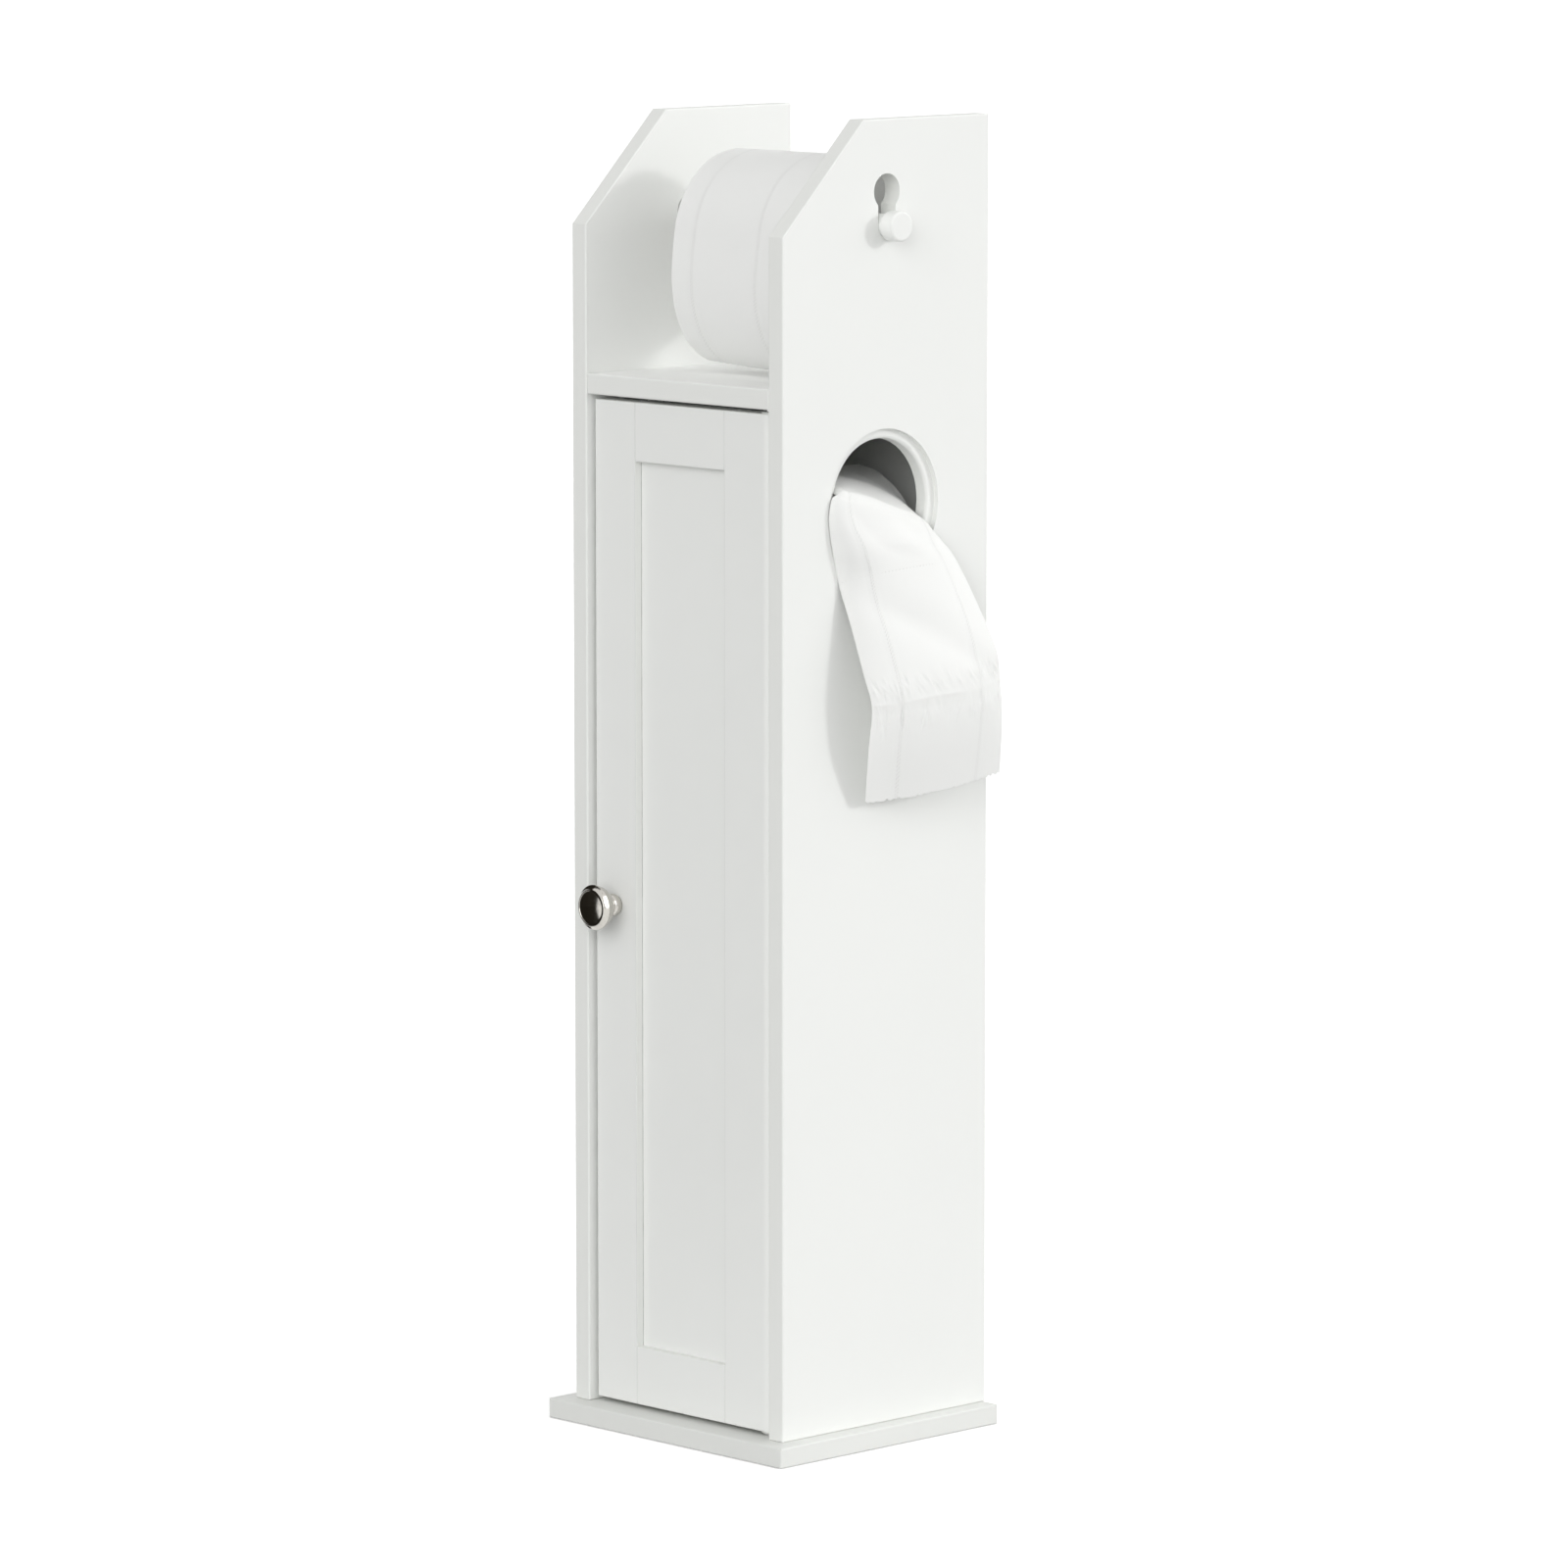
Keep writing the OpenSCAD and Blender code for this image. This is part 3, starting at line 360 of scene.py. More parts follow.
PEWTER = (0.58, 0.56, 0.52, 1)
PATINA = (0.09, 0.082, 0.072, 1)
knob_low, knob_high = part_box("door_knob")
KNOB_CENTRE = Vector((
    (knob_low.x + knob_high.x) / 2, knob_high.y, (knob_low.z + knob_high.z) / 2))
KNOB_PROJECTION = knob_high.y - knob_low.y
KNOB_R = (knob_high.x - knob_low.x) / 2
KNOB_SEGMENTS = 128
FOOT_R = 6.75 * MM
NECK_R = 4.5 * MM
RIM_H = KNOB_PROJECTION - 6.5 * MM
RIDGE_R = KNOB_R * 0.785
RIDGE_H = RIM_H + 2.6 * MM
GROOVE_R = KNOB_R * 0.755
FACE_R = KNOB_R * 0.74
FACE_DOME = 1.8 * MM
TOOL_MARK_PITCH = 0.35 * MM


def arc(centre, radii, start, end, steps):
    """Points of a round stretch, as (radius, height). Angles in degrees."""
    return [
        (centre[0] + radii[0] * math.cos(angle), centre[1] + radii[1] * math.sin(angle))
        for angle in np.radians(np.linspace(start, end, steps))
    ]


def new_object(name, data):
    made = bpy.data.objects.new(name, data)
    bpy.context.scene.collection.objects.link(made)
    return made


def new_turned_piece(name, profile, segments, turn):
    """A turned piece. turn takes (radius, height, angle) to a place."""
    mesh = bpy.data.meshes.new(name)
    build = bmesh.new()
    rings = [
        [build.verts.new(turn(r, h, math.tau * k / segments)) for k in range(segments)]
        for r, h in profile
    ]
    for low, high in zip(rings, rings[1:]):
        for k in range(segments):
            ahead = (k + 1) % segments
            build.faces.new((low[k], low[ahead], high[ahead], high[k]))
    build.faces.new(list(reversed(rings[0])))
    build.faces.new(rings[-1])
    bmesh.ops.recalc_face_normals(build, faces=build.faces)
    build.to_mesh(mesh)
    build.free()
    mesh.shade_smooth()
    return new_object(name, mesh)


knob_profile = (
    # The foot, a flattened ball, and the neck over it
    [(FOOT_R - 1.4 * MM, 0)]
    + arc((FOOT_R - 3 * MM, 3.2 * MM), (3 * MM, 3.2 * MM), -70, 60, 12)
    + arc((NECK_R + 1.4 * MM, 8.2 * MM), (-1.4 * MM, -2.4 * MM), 80, 0, 7)
    # The head's hollow underside, its thin rim and the bevel inside it
    + arc((NECK_R, RIM_H - 0.9 * MM), (KNOB_R - NECK_R - 0.5 * MM, -7.2 * MM), 88, 8, 14)
    + arc((KNOB_R - 0.6 * MM, RIM_H), (0.6 * MM, 0.7 * MM), -50, 70, 7)
    + [(KNOB_R * 0.9, RIM_H + 1.5 * MM), (KNOB_R * 0.82, RIM_H + 2.5 * MM)]
    # The fine ridge and the domed face
    + arc((RIDGE_R, RIDGE_H), (0.45 * MM, 0.3 * MM), 20, 170, 7)
    + [(FACE_R * t, RIDGE_H + FACE_DOME * (1 - t * t)) for t in np.linspace(1, 0.02, 12)]
)
knob = new_turned_piece(
    "turned_knob", knob_profile, KNOB_SEGMENTS,
    lambda r, h, a: KNOB_CENTRE + Vector((r * math.cos(a), -h, r * math.sin(a))),
)


def larger(tree, first, second):
    return maths(tree, "MAXIMUM", first, second)


pewter, given = new_finish("Antique pewter", {
    "Colour": PEWTER, "Patina": PATINA, "Axis": tuple(KNOB_CENTRE),
})
place = object_place(pewter)
off_axis = vector_maths(pewter, "MULTIPLY", vector_maths(
    pewter, "SUBTRACT", place, given["Axis"]), (1, 0, 1))
radius = vector_maths(pewter, "LENGTH", off_axis, output="Value")
tool_marks = maths(pewter, "SINE", times(pewter, radius, math.tau / TOOL_MARK_PITCH))
blotch = noise(pewter, place, 520, detail=4, roughness=0.65)
groove = spread(pewter, apart(pewter, radius, GROOVE_R), (0.05 * MM, 0.4 * MM), (0.4, 0))
stain = larger(pewter, groove, spread(pewter, blotch, (0.55, 0.75), (0, 0.35)))
put_out(
    pewter,
    blend_colours(pewter, stain, given["Colour"], given["Patina"]),
    spread(pewter, blotch, (0.3, 0.7), (0.1, 0.18)),
    relief(pewter, tool_marks, 0.25, 0.006 * MM),
)
knob_metal = new_material("Antique pewter", pewter, {}, Metallic=1.0, Anisotropic=0.4)
tree = knob_metal.node_tree
turned_way = add(tree, "ShaderNodeTangent", {"direction_type": "RADIAL", "axis": "Y"})
tree.links.new(turned_way.outputs[0], tree.nodes["Principled BSDF"].inputs["Tangent"])
knob.data.materials.append(knob_metal)
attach(knob, "door")
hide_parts("door_knob")


# ---- Magnetic catch ----
# A moulded nylon housing, screwed under the fixed shelf. It holds a ferrite magnet with
# steel poles, which draws the steel plate on the door's back.

FERRITE = (0.12, 0.12, 0.125, 1)

dress(nylon, "catch_housing")
dress(
    new_material("Ferrite", metal, {
        "Colour": FERRITE, "Dullness": 0.6, "Clouds per metre": 900.0,
    }, Metallic=0.6),
    "catch_magnet",
)


# ---- Roll bar ----
# Turned wood, sprayed white with the cabinet. One end stands in a blind socket. At the
# other the neck lies in the keyhole's slot, with the head outside.

dress(
    new_material("Paint on the bar", paint, {
        "Board normal": (0.7, 0.5, 0.5), "Edge colour": PAINT_WHITE, "Dullness": 0.38,
    }),
    "roll_bar",
)


# ---- Cores ----
# Tubes of grey-brown card, wound in a spiral from strips and glued, one in each roll.
# The seam between two turns of the strip climbs along the tube.

CARD = (0.4, 0.3, 0.2, 1)
CARD_SEAM = (0.2, 0.14, 0.09, 1)
SEAM_PITCH = 62 * MM
UPPER_LIES = (0, math.pi / 2, 0)
LOWER_LIES = (math.pi / 2, 0, 0)

card, given = new_finish("Spiral card", {
    "Centre": (0, 0, 0), "Turn": (0, 0, 0), "Colour": CARD, "Seam": CARD_SEAM,
})
place = object_place(card)
along_core = add(
    card, "ShaderNodeVectorRotate", {"rotation_type": "EULER_XYZ"},
    Vector=vector_maths(card, "SUBTRACT", place, given["Centre"]), Rotation=given["Turn"])
parts = add(card, "ShaderNodeSeparateXYZ", i0=along_core.outputs[0]).outputs
share_of_turn = maths(card, "DIVIDE", maths(card, "ARCTAN2", parts["Y"], parts["X"]), math.tau)
climb = maths(card, "FRACT", plus(card, share_of_turn, maths(
    card, "DIVIDE", parts["Z"], SEAM_PITCH)))
seam = spread(card, apart(card, climb, 0.5), (0, 0.012), (1, 0))
pulp = noise(card, place, 700, detail=4, roughness=0.7)
dark = larger(card, seam, spread(card, pulp, (0.45, 0.75), (0, 0.6)))
put_out(
    card,
    blend_colours(card, dark, given["Colour"], given["Seam"]),
    spread(card, pulp, (0.3, 0.7), (0.78, 0.92)),
    relief(card, minus(card, pulp, seam), 0.6, 0.06 * MM),
)
for core, lies in (("upper_roll_core", UPPER_LIES), ("lower_roll_core", LOWER_LIES)):
    core_low, core_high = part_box(core)
    centre = tuple((core_low + core_high) / 2)
    dress(new_material("Card of " + core, card, {"Centre": centre, "Turn": lies}), core)


# ---- Wound paper ----
# Two-ply tissue wound on the cores. The plies are joined by two lines of small
# pressed marks that run round the roll, and the cut ends show the turns.

TISSUE_WHITE = (0.9, 0.905, 0.89, 1)
ROLL_L = 98 * MM
BORE_R = 23.55 * MM
SHOULDER = 1.5 * MM
TURN_T = 0.42 * MM
LOOSE = 0.22 * MM
LOOSE_T = 4 * MM
END_AWAY = 20 * MM
ROLL_SEGMENTS = 144
MARK_LINES = (17 * MM, 71 * MM)
DOT_PITCH = 1.75 * MM
DOT_REACH = 0.8 * MM
DOT_ROW = 0.65 * MM
SLIT_PITCH = 2.3 * MM
STRAINED_MIDDLE = 52 * MM
TISSUE_RELIEF = 0.14 * MM
TISSUE_SURFACE = {
    "Subsurface_Weight": 0.15, "Subsurface_Radius": (1, 1, 1), "Subsurface_Scale": 1.2 * MM,
    "Specular_IOR_Level": 0.25, "Sheen_Weight": 0.1,
}

tissue, given = new_finish("Tissue", {
    "Colour": TISSUE_WHITE,
    "First line": MARK_LINES[0],
    "Second line": MARK_LINES[1],
    "Perforation": -1.0,
    "Mark depth": 1.0,
})
on_paper = add(tissue, "ShaderNodeUVMap", {"uv_map": "Paper"}).outputs[0]
parts = add(tissue, "ShaderNodeSeparateXYZ", i0=on_paper).outputs
across, along = parts["X"], parts["Y"]


def dot_row(line, side, step):
    """A row of small pressed dots beside a line: 1 in a dot's middle, 0 outside."""
    off = minus(tissue, across, plus(tissue, line, side))
    pitches = maths(tissue, "DIVIDE", plus(tissue, along, off), DOT_PITCH)
    to_middle = apart(tissue, maths(tissue, "FRACT", plus(tissue, pitches, step)), 0.5)
    sideways = maths(tissue, "DIVIDE", maths(tissue, "ABSOLUTE", off), DOT_REACH)
    reach = plus(tissue, sideways, times(tissue, to_middle, 2.4))
    return spread(tissue, reach, (0.3, 0.95), (1, 0))


def pressed_line(line):
    return larger(tissue, dot_row(line, -DOT_ROW, 0.0), dot_row(line, DOT_ROW, 0.5))


marks = larger(tissue, pressed_line(given["First line"]), pressed_line(given["Second line"]))

# A perforation shows where the paper has been strained, most in the sheet's middle
slit = maths(tissue, "GREATER_THAN", maths(tissue, "FRACT", maths(
    tissue, "DIVIDE", across, SLIT_PITCH)), 0.6)
strained = spread(tissue, noise(tissue, on_paper, 70, detail=1), (0.45, 0.62), (0, 1))
strained = times(tissue, strained, spread(
    tissue, apart(tissue, across, STRAINED_MIDDLE), (18 * MM, 27 * MM), (1, 0.15)))
in_row = spread(tissue, apart(tissue, along, given["Perforation"]),
                (0.15 * MM, 0.5 * MM), (1, 0))
cuts = times(tissue, in_row, times(tissue, slit, strained))

creped = add(tissue, "ShaderNodeMapping", Vector=on_paper, Scale=(420, 2900, 1)).outputs[0]
crepe = noise(tissue, creped, 1)
fibres = noise(tissue, on_paper, 1300, detail=4, roughness=0.7)
lump = noise(tissue, on_paper, 240)
soft = plus(tissue, times(tissue, crepe, 0.16), plus(
    tissue, times(tissue, fibres, 0.12), times(tissue, lump, 0.3)))
pressed = times(tissue, larger(tissue, marks, cuts), given["Mark depth"])
raised = minus(tissue, soft, times(tissue, pressed, 1.6))
# The pressed marks and the perforation's slits are painted darker: painted shade in their dents and
# cuts
tone = minus(tissue, spread(tissue, fibres, (0.3, 0.7), (0.985, 1)), plus(
    tissue, times(tissue, pressed, 0.09), times(tissue, cuts, 0.2)))
put_out(
    tissue,
    toned(tissue, given["Colour"], tone),
    spread(tissue, fibres, (0.3, 0.7), (0.86, 0.96)),
    relief(tissue, raised, 0.8, TISSUE_RELIEF),
)
roll_tissue = new_material("Tissue on a roll", tissue, {"Mark depth": 0.8}, **TISSUE_SURFACE)


def roll_profile(outer, dice, seed):
    """The roll's section, as (radius, height): its end of many turns, its rounded
    shoulder and its outside, then the other end and the bore."""
    end = []
    for turn in range(int((outer - SHOULDER - BORE_R) / TURN_T)):
        r = BORE_R + turn * TURN_T
        slip = 0.12 * MM * dice.random() + 0.1 * MM * math.sin(turn * 0.37 + seed)
        end += [(r, slip + 0.16 * MM), (r + TURN_T * 0.7, slip)]
    end.append((outer - SHOULDER, 0.05 * MM))
    half = [(r, max(h, 0.02 * MM)) for r, h in end]
    half += arc((outer - SHOULDER, SHOULDER), (SHOULDER, SHOULDER), -80, -5, 6)
    outside = [(outer, h) for h in np.linspace(2.5 * MM, ROLL_L - 2.5 * MM, 60)]
    bore = [(BORE_R, h) for h in np.linspace(ROLL_L - 2 * MM, 2 * MM, 8)]
    return half + outside + [(r, ROLL_L - h) for r, h in reversed(half)] + bore


def wound_roll(name, node, axis, seed):
    """A roll of paper: turns on its cut ends, and a slightly loose, uneven outside. Its
    ends lie END_AWAY from the outside on the flat paper, clear of the pressed marks."""
    low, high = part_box(node)
    centre = (low + high) / 2
    outer = (high.z - low.z) / 2
    side = Vector((0, 1, 0)) if axis.x else Vector((1, 0, 0))
    dice = random.Random(seed)
    waves = [
        (dice.uniform(0, math.tau), dice.choice((2, 3, 5, 8)), dice.uniform(0.4, 1))
        for _ in range(5)
    ]
    profile = roll_profile(outer, dice, seed)

    def turned(r, h, a):
        loose = sum(size * math.sin(count * a + phase + 30 * h) for phase, count, size in waves) / 5
        near_outside = max(0.0, min(1.0, (r - outer + LOOSE_T) / LOOSE_T))
        give = (LOOSE * (loose - 0.9)) * near_outside
        out = (r + give) * math.cos(a)
        up = (r + give) * math.sin(a)
        return centre + axis * (h - ROLL_L / 2) + side * out + Vector((0, 0, up))

    mesh = bpy.data.meshes.new(name)
    build = bmesh.new()
    paper = build.loops.layers.uv.new("Paper")
    rings = [
        [build.verts.new(turned(r, h, math.tau * k / ROLL_SEGMENTS)) for k in range(ROLL_SEGMENTS)]
        for r, h in profile
    ]
    profile.append(profile[0])
    rings.append(rings[0])
    for step, (first, second) in enumerate(zip(rings, rings[1:])):
        for k in range(ROLL_SEGMENTS):
            ahead = (k + 1) % ROLL_SEGMENTS
            made = build.faces.new((first[k], first[ahead], second[ahead], second[k]))
            corners = ((0, k), (0, k + 1), (1, k + 1), (1, k))
            for loop, (row, turn) in zip(made.loops, corners):
                r, h = profile[step + row]
                on_end = r < outer - SHOULDER - 0.1 * MM
                round_roll = outer * math.tau * turn / ROLL_SEGMENTS
                loop[paper].uv = (-END_AWAY - r if on_end else h, round_roll)
    bmesh.ops.recalc_face_normals(build, faces=build.faces)
    build.to_mesh(mesh)
    build.free()
    mesh.shade_smooth()
    roll = new_object(name, mesh)
    roll.data.materials.append(roll_tissue)
    return roll


upper_roll = wound_roll("upper_wound_paper", "upper_roll_paper", Vector((1, 0, 0)), 4)
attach(upper_roll, "upper_roll")
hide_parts("upper_roll_paper")
lower_roll = wound_roll("lower_wound_paper", "lower_roll_paper", Vector((0, 1, 0)), 9)
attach(lower_roll, "lower_roll")
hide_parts("lower_roll_paper")


# ---- Loose end of the upper roll ----
# The last sheet comes over the roll, stands away from it in front and curls in under
# it. It was torn off at a row of perforations, which left small teeth.

TISSUE_T = 0.2 * MM
TOOTH = 4 * MM
ROLL_R = 52.5 * MM
FLAP_L = 178 * MM
FLAP_R = ROLL_R + 0.7 * MM
FLAP_REACH = 75 * MM
FLAP_DROOP = 3.4 * MM
FLAP_START = -100
FLAP_LEAVE = -10
FLAP_END = 71
FLAP_COLUMNS = 246
FLAP_ROWS = 260
upper_low, upper_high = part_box("upper_roll_paper")
UPPER_CENTRE = (upper_low + upper_high) / 2


def ease(t):
    t = np.clip(t, 0, 1)
    return t * t * (3 - 2 * t)


def bump_at(t, centre, width):
    return np.exp(-((t - centre) / width) ** 2)


def torn_edge(count, length, seed):
    """How far the paper ends short of its length, as a share of it, column by column."""
    dice = np.random.default_rng(seed)
    place = np.linspace(0, ROLL_L, count)
    teeth = np.abs(((place / TOOTH) % 1) - 0.5) * 2
    ragged = np.interp(place, np.linspace(0, ROLL_L, 60), dice.uniform(0, 1, 60))
    drift = np.interp(place, np.linspace(0, ROLL_L, 7), dice.uniform(0, 1, 7))
    short = 1.5 * MM * teeth * (0.2 + 1.0 * ragged) + 0.8 * MM * ragged + 0.8 * MM * drift
    return short / length


def paper_sheet(name, surface, lift, length, columns, rows, seed):
    """A sheet of tissue: surface gives its places, and lift how far they stand off
    along the normal."""
    u = np.linspace(0, 1, columns)[:, None] * np.ones((1, rows))
    v = np.linspace(0, 1, rows)[None, :] * (1 - torn_edge(columns, length, seed)[:, None])
    points = surface(u, v)
    normal = np.cross(np.gradient(points, axis=0), np.gradient(points, axis=1))
    normal /= np.linalg.norm(normal, axis=2, keepdims=True)
    points = points + normal * lift(u * ROLL_L, v * length)[:, :, None]
    index = np.arange(columns * rows).reshape(columns, rows)
    faces = np.stack(
        [index[:-1, :-1], index[1:, :-1], index[1:, 1:], index[:-1, 1:]], axis=2).reshape(-1, 4)
    mesh = bpy.data.meshes.new(name)
    mesh.from_pydata(points.reshape(-1, 3).tolist(), [], faces.tolist())
    flat = np.stack([u * ROLL_L, v * length], axis=2).reshape(-1, 2)
    paper = mesh.uv_layers.new(name="Paper")
    paper.data.foreach_set("uv", flat[faces.reshape(-1)].reshape(-1))
    mesh.shade_smooth()
    sheet = new_object(name, mesh)
    plies = sheet.modifiers.new("Plies", "SOLIDIFY")
    plies.thickness = TISSUE_T
    plies.offset = 0
    return sheet


def flap_surface(u, v):
    """Round the roll, then away from it and down, as an angle and a radius. The angle
    is -90 degrees at the roll's top and 0 at its front."""
    angle = FLAP_START + (FLAP_END - FLAP_START) * v
    away = ease((angle - FLAP_LEAVE) / (FLAP_END - FLAP_LEAVE)) ** 1.15
    lain = ease((angle - FLAP_START) / 16)
    r = ROLL_R + 0.1 * MM + (FLAP_R - ROLL_R - 0.1 * MM) * lain
    droop = FLAP_DROOP * ease(u / 0.6)
    r = r + away * (FLAP_REACH - FLAP_R + droop + 0.5 * MM * np.sin(3 * math.pi * u))
    turn = np.radians(angle)
    return np.stack([
        upper_low.x + ROLL_L * u,
        UPPER_CENTRE.y - r * np.cos(turn),
        UPPER_CENTRE.z - r * np.sin(turn),
    ], axis=2)


def flap_lift(x, y):
    """Soft ridges beside the lines of marks, and slow swells round the roll."""
    ridges = sum(
        bump_at(x, line + side * 4.5 * MM, 1.6 * MM) * size
        for line in MARK_LINES for side, size in ((-1, 0.1 * MM), (1, 0.17 * MM))
    )
    lines = sum(bump_at(x, line, 1.1 * MM) for line in MARK_LINES)
    swell = np.sin(x / (17 * MM) + 1.2) * np.sin(y / (31 * MM) + 0.4)
    edge = 0.12 * MM * np.sin(y / (9 * MM)) * bump_at(x, 0, 6 * MM)
    free = 0.35 + 0.65 * ease(y / FLAP_L * 1.6 - 0.7)
    return (ridges - 0.12 * MM * lines + 0.1 * MM * swell + edge) * free


flap = paper_sheet(
    "upper_loose_end", flap_surface, flap_lift, FLAP_L, FLAP_COLUMNS, FLAP_ROWS, 11)
flap.data.materials.append(
    new_material("Tissue of the upper end", tissue, {}, **TISSUE_SURFACE))
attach(flap, "bar")
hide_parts("upper_roll_flap")


# ---- Paper through the round hole ----
# The lower roll's paper leaves its top, is drawn together through the hole and falls
# outside in an arch. It has been creased across in a hand, once, above its torn end.

PANEL_T = 12 * MM
SIDE_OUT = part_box("right_side_panel")[1].x
SIDE_IN = SIDE_OUT - PANEL_T
MID_Y = 6 * MM
HOLE_Y = 4.5 * MM
HOLE_R = 38.15 * MM
HOLE_Z = 556.3 * MM
LOWER_X = 16.5 * MM
LOWER_Z = 518.3 * MM
TAIL_R = ROLL_R + 0.3 * MM
TAIL_L = 254 * MM
TAIL_END = HOLE_Z - 173.5 * MM
TAIL_BULGE = 42 * MM
TAIL_LINES = (22 * MM, 76 * MM)
TAIL_PERFORATION = 129 * MM
TAIL_COLUMNS = 246
TAIL_ROWS = 420
FACE_GAP = 0.35 * MM
DRAWN_HALF = 40 * MM
CREASE = 202 * MM
CRINKLES = 130


def over_roll(x, lift):
    return LOWER_Z + lift + math.sqrt(max(0, TAIL_R ** 2 - (x - LOWER_X) ** 2))


def fall(t):
    return HOLE_Z + (TAIL_END - HOLE_Z) * t


def front_edge(bulge, forward, z):
    return SIDE_OUT + max(FACE_GAP, TAIL_BULGE * bulge), HOLE_Y - DRAWN_HALF + forward, z


def rear_edge(bulge, back, z):
    return SIDE_OUT + TAIL_BULGE * bulge, HOLE_Y + DRAWN_HALF + back, z


# Each row: the front corner, the rear corner, the arch's height and its lean. The fifth
# row is where the paper has come over the hole's rim and lies on the panel. GATHER says
# how far a row's two edges are drawn together.
ROW_PLACES = (0, 0.1, 0.2, 0.295, 0.32, 0.355, 0.4, 0.5, 0.6, 0.7, 0.8, 0.9, 1)
GATHER = (0, 0.1, 0.5, 0.8, 0.8, 0.68, 0.45, 0.36, 0.33, 0.25, 0.22, 0.18, 0.12)
tail_rows = [
    [(LOWER_X, MID_Y - ROLL_L / 2, over_roll(LOWER_X, 0.2 * MM)),
     (LOWER_X, MID_Y + ROLL_L / 2, over_roll(LOWER_X, 0.2 * MM)), 0, 0.9],
    [(SIDE_IN - HOLE_R, MID_Y - ROLL_L * 0.46, over_roll(SIDE_IN - HOLE_R, 1.3 * MM)),
     (SIDE_IN - HOLE_R, MID_Y + ROLL_L * 0.46, over_roll(SIDE_IN - HOLE_R, 1.5 * MM)), 3 * MM, 0.8],
    [(SIDE_IN - HOLE_R * 0.48, HOLE_Y - HOLE_R + 3 * MM, HOLE_Z + 9 * MM),
     (SIDE_IN - HOLE_R * 0.48, HOLE_Y + HOLE_R + 1 * MM, HOLE_Z + 1 * MM), 7 * MM, 0.65],
    [(SIDE_OUT - 3.5 * MM, HOLE_Y - HOLE_R + 1.3 * MM, HOLE_Z + 7.7 * MM),
     (SIDE_IN + 8 * MM, HOLE_Y + HOLE_R - 5 * MM, HOLE_Z - 11 * MM), 5 * MM, 0.62],
    [(SIDE_OUT + FACE_GAP, HOLE_Y - HOLE_R - 5.1 * MM, HOLE_Z + 5.8 * MM),
     (SIDE_OUT - 1 * MM, HOLE_Y + HOLE_R - 1.5 * MM, HOLE_Z - 14.5 * MM), 7 * MM, 0.62],
    [(SIDE_OUT + FACE_GAP, HOLE_Y - HOLE_R - 7.5 * MM, HOLE_Z - 6.5 * MM),
     (SIDE_OUT + 2 * MM, HOLE_Y + HOLE_R + 1 * MM, HOLE_Z - 19 * MM), 10 * MM, 0.62],
    [front_edge(0, -3 * MM, fall(0.135)),
     rear_edge(0.107, 2 * MM, fall(0.135)), 14 * MM, 0.65],
    [front_edge(0, 1.5 * MM, fall(0.24)), rear_edge(0.25, 8 * MM, fall(0.2)), 15 * MM, 0.7],
    [front_edge(0.19, 4.5 * MM, fall(0.39)), rear_edge(0.54, 13 * MM, fall(0.34)), 13 * MM, 0.75],
    [front_edge(0.4, 6.5 * MM, fall(0.55)), rear_edge(0.86, 16.5 * MM, fall(0.5)), 10 * MM, 0.8],
    [front_edge(0.5, 9 * MM, fall(0.66)), rear_edge(0.9, 18.5 * MM, fall(0.61)), 9 * MM, 0.9],
    [front_edge(0.42, 10 * MM, fall(0.8)), rear_edge(0.85, 21.5 * MM, fall(0.76)), 7 * MM, 1],
    [front_edge(0.19, 16.5 * MM, fall(1)), rear_edge(0.7, 26 * MM, fall(0.93)), 5 * MM, 1],
]


def along_rows(values, t):
    """A smooth curve through a value of each row, at places t from 0 to 1."""
    values = np.array(values, dtype=float)
    last = len(tail_rows) - 1
    s = np.minimum(np.interp(t, ROW_PLACES, range(last + 1)), last - 0.0001)
    i = np.floor(s).astype(int)
    f = s - i
    if values.ndim == 2:
        f = f[..., None]
    before, here = values[np.maximum(i - 1, 0)], values[i]
    ahead, beyond = values[i + 1], values[np.minimum(i + 2, last)]
    return 0.5 * (
        2 * here + (ahead - before) * f + (2 * before - 5 * here + 4 * ahead - beyond) * f ** 2
        + (3 * here - before - 3 * ahead + beyond) * f ** 3
    )


def soft_fold(u, v):
    """A shallow valley that runs slantwise across the falling part."""
    centre = 0.15 + 0.75 * ease((v - 0.5) / 0.3)
    window = np.maximum(0, np.sin(math.pi * np.clip((v - 0.48) / 0.36, 0, 1)))
    return -3 * MM * window * np.exp(-((u - centre) / 0.16) ** 2)


def tail_surface(u, v):
    """Each place lies between the two edges, and stands out by the arch's height."""
    fronts, rears, arches, leans = zip(*tail_rows)
    middles = np.array(fronts) + np.array(rears)
    front, rear = along_rows(fronts, v), along_rows(rears, v)
    ahead = along_rows(middles, np.minimum(v + 0.01, 1))
    behind = along_rows(middles, np.maximum(v - 0.01, 0))
    out = np.cross(ahead - behind, rear - front)
    out /= np.linalg.norm(out, axis=2, keepdims=True)
    place = u - along_rows(GATHER, v) * np.sin(math.tau * u) / math.tau
    arch = along_rows(arches, v) * np.sin(math.pi * u ** along_rows(leans, v))
    stands_out = arch + soft_fold(u, v)
    return front + (rear - front) * place[..., None] + out * stands_out[..., None]


# Crinkles lie above and below the crease by turns. Each has its middle, across and
# along the paper, then its lean, half its length, half its width and its height.
crinkles = []
dice = random.Random(23)
for count in range(CRINKLES):
    above = count % 2 == 0
    crinkles.append((
        dice.uniform(3 * MM, 95 * MM),
        CREASE + (-1 if above else 1) * dice.uniform(5 * MM, 15 * MM),
        dice.uniform(-0.1, 0.45) if above else dice.uniform(-0.3, 0.3),
        dice.uniform(3 * MM, 7.5 * MM), dice.uniform(0.6 * MM, 1.3 * MM),
        dice.choice((-0.42, -0.25, 0.27, 0.45)) * MM,
    ))


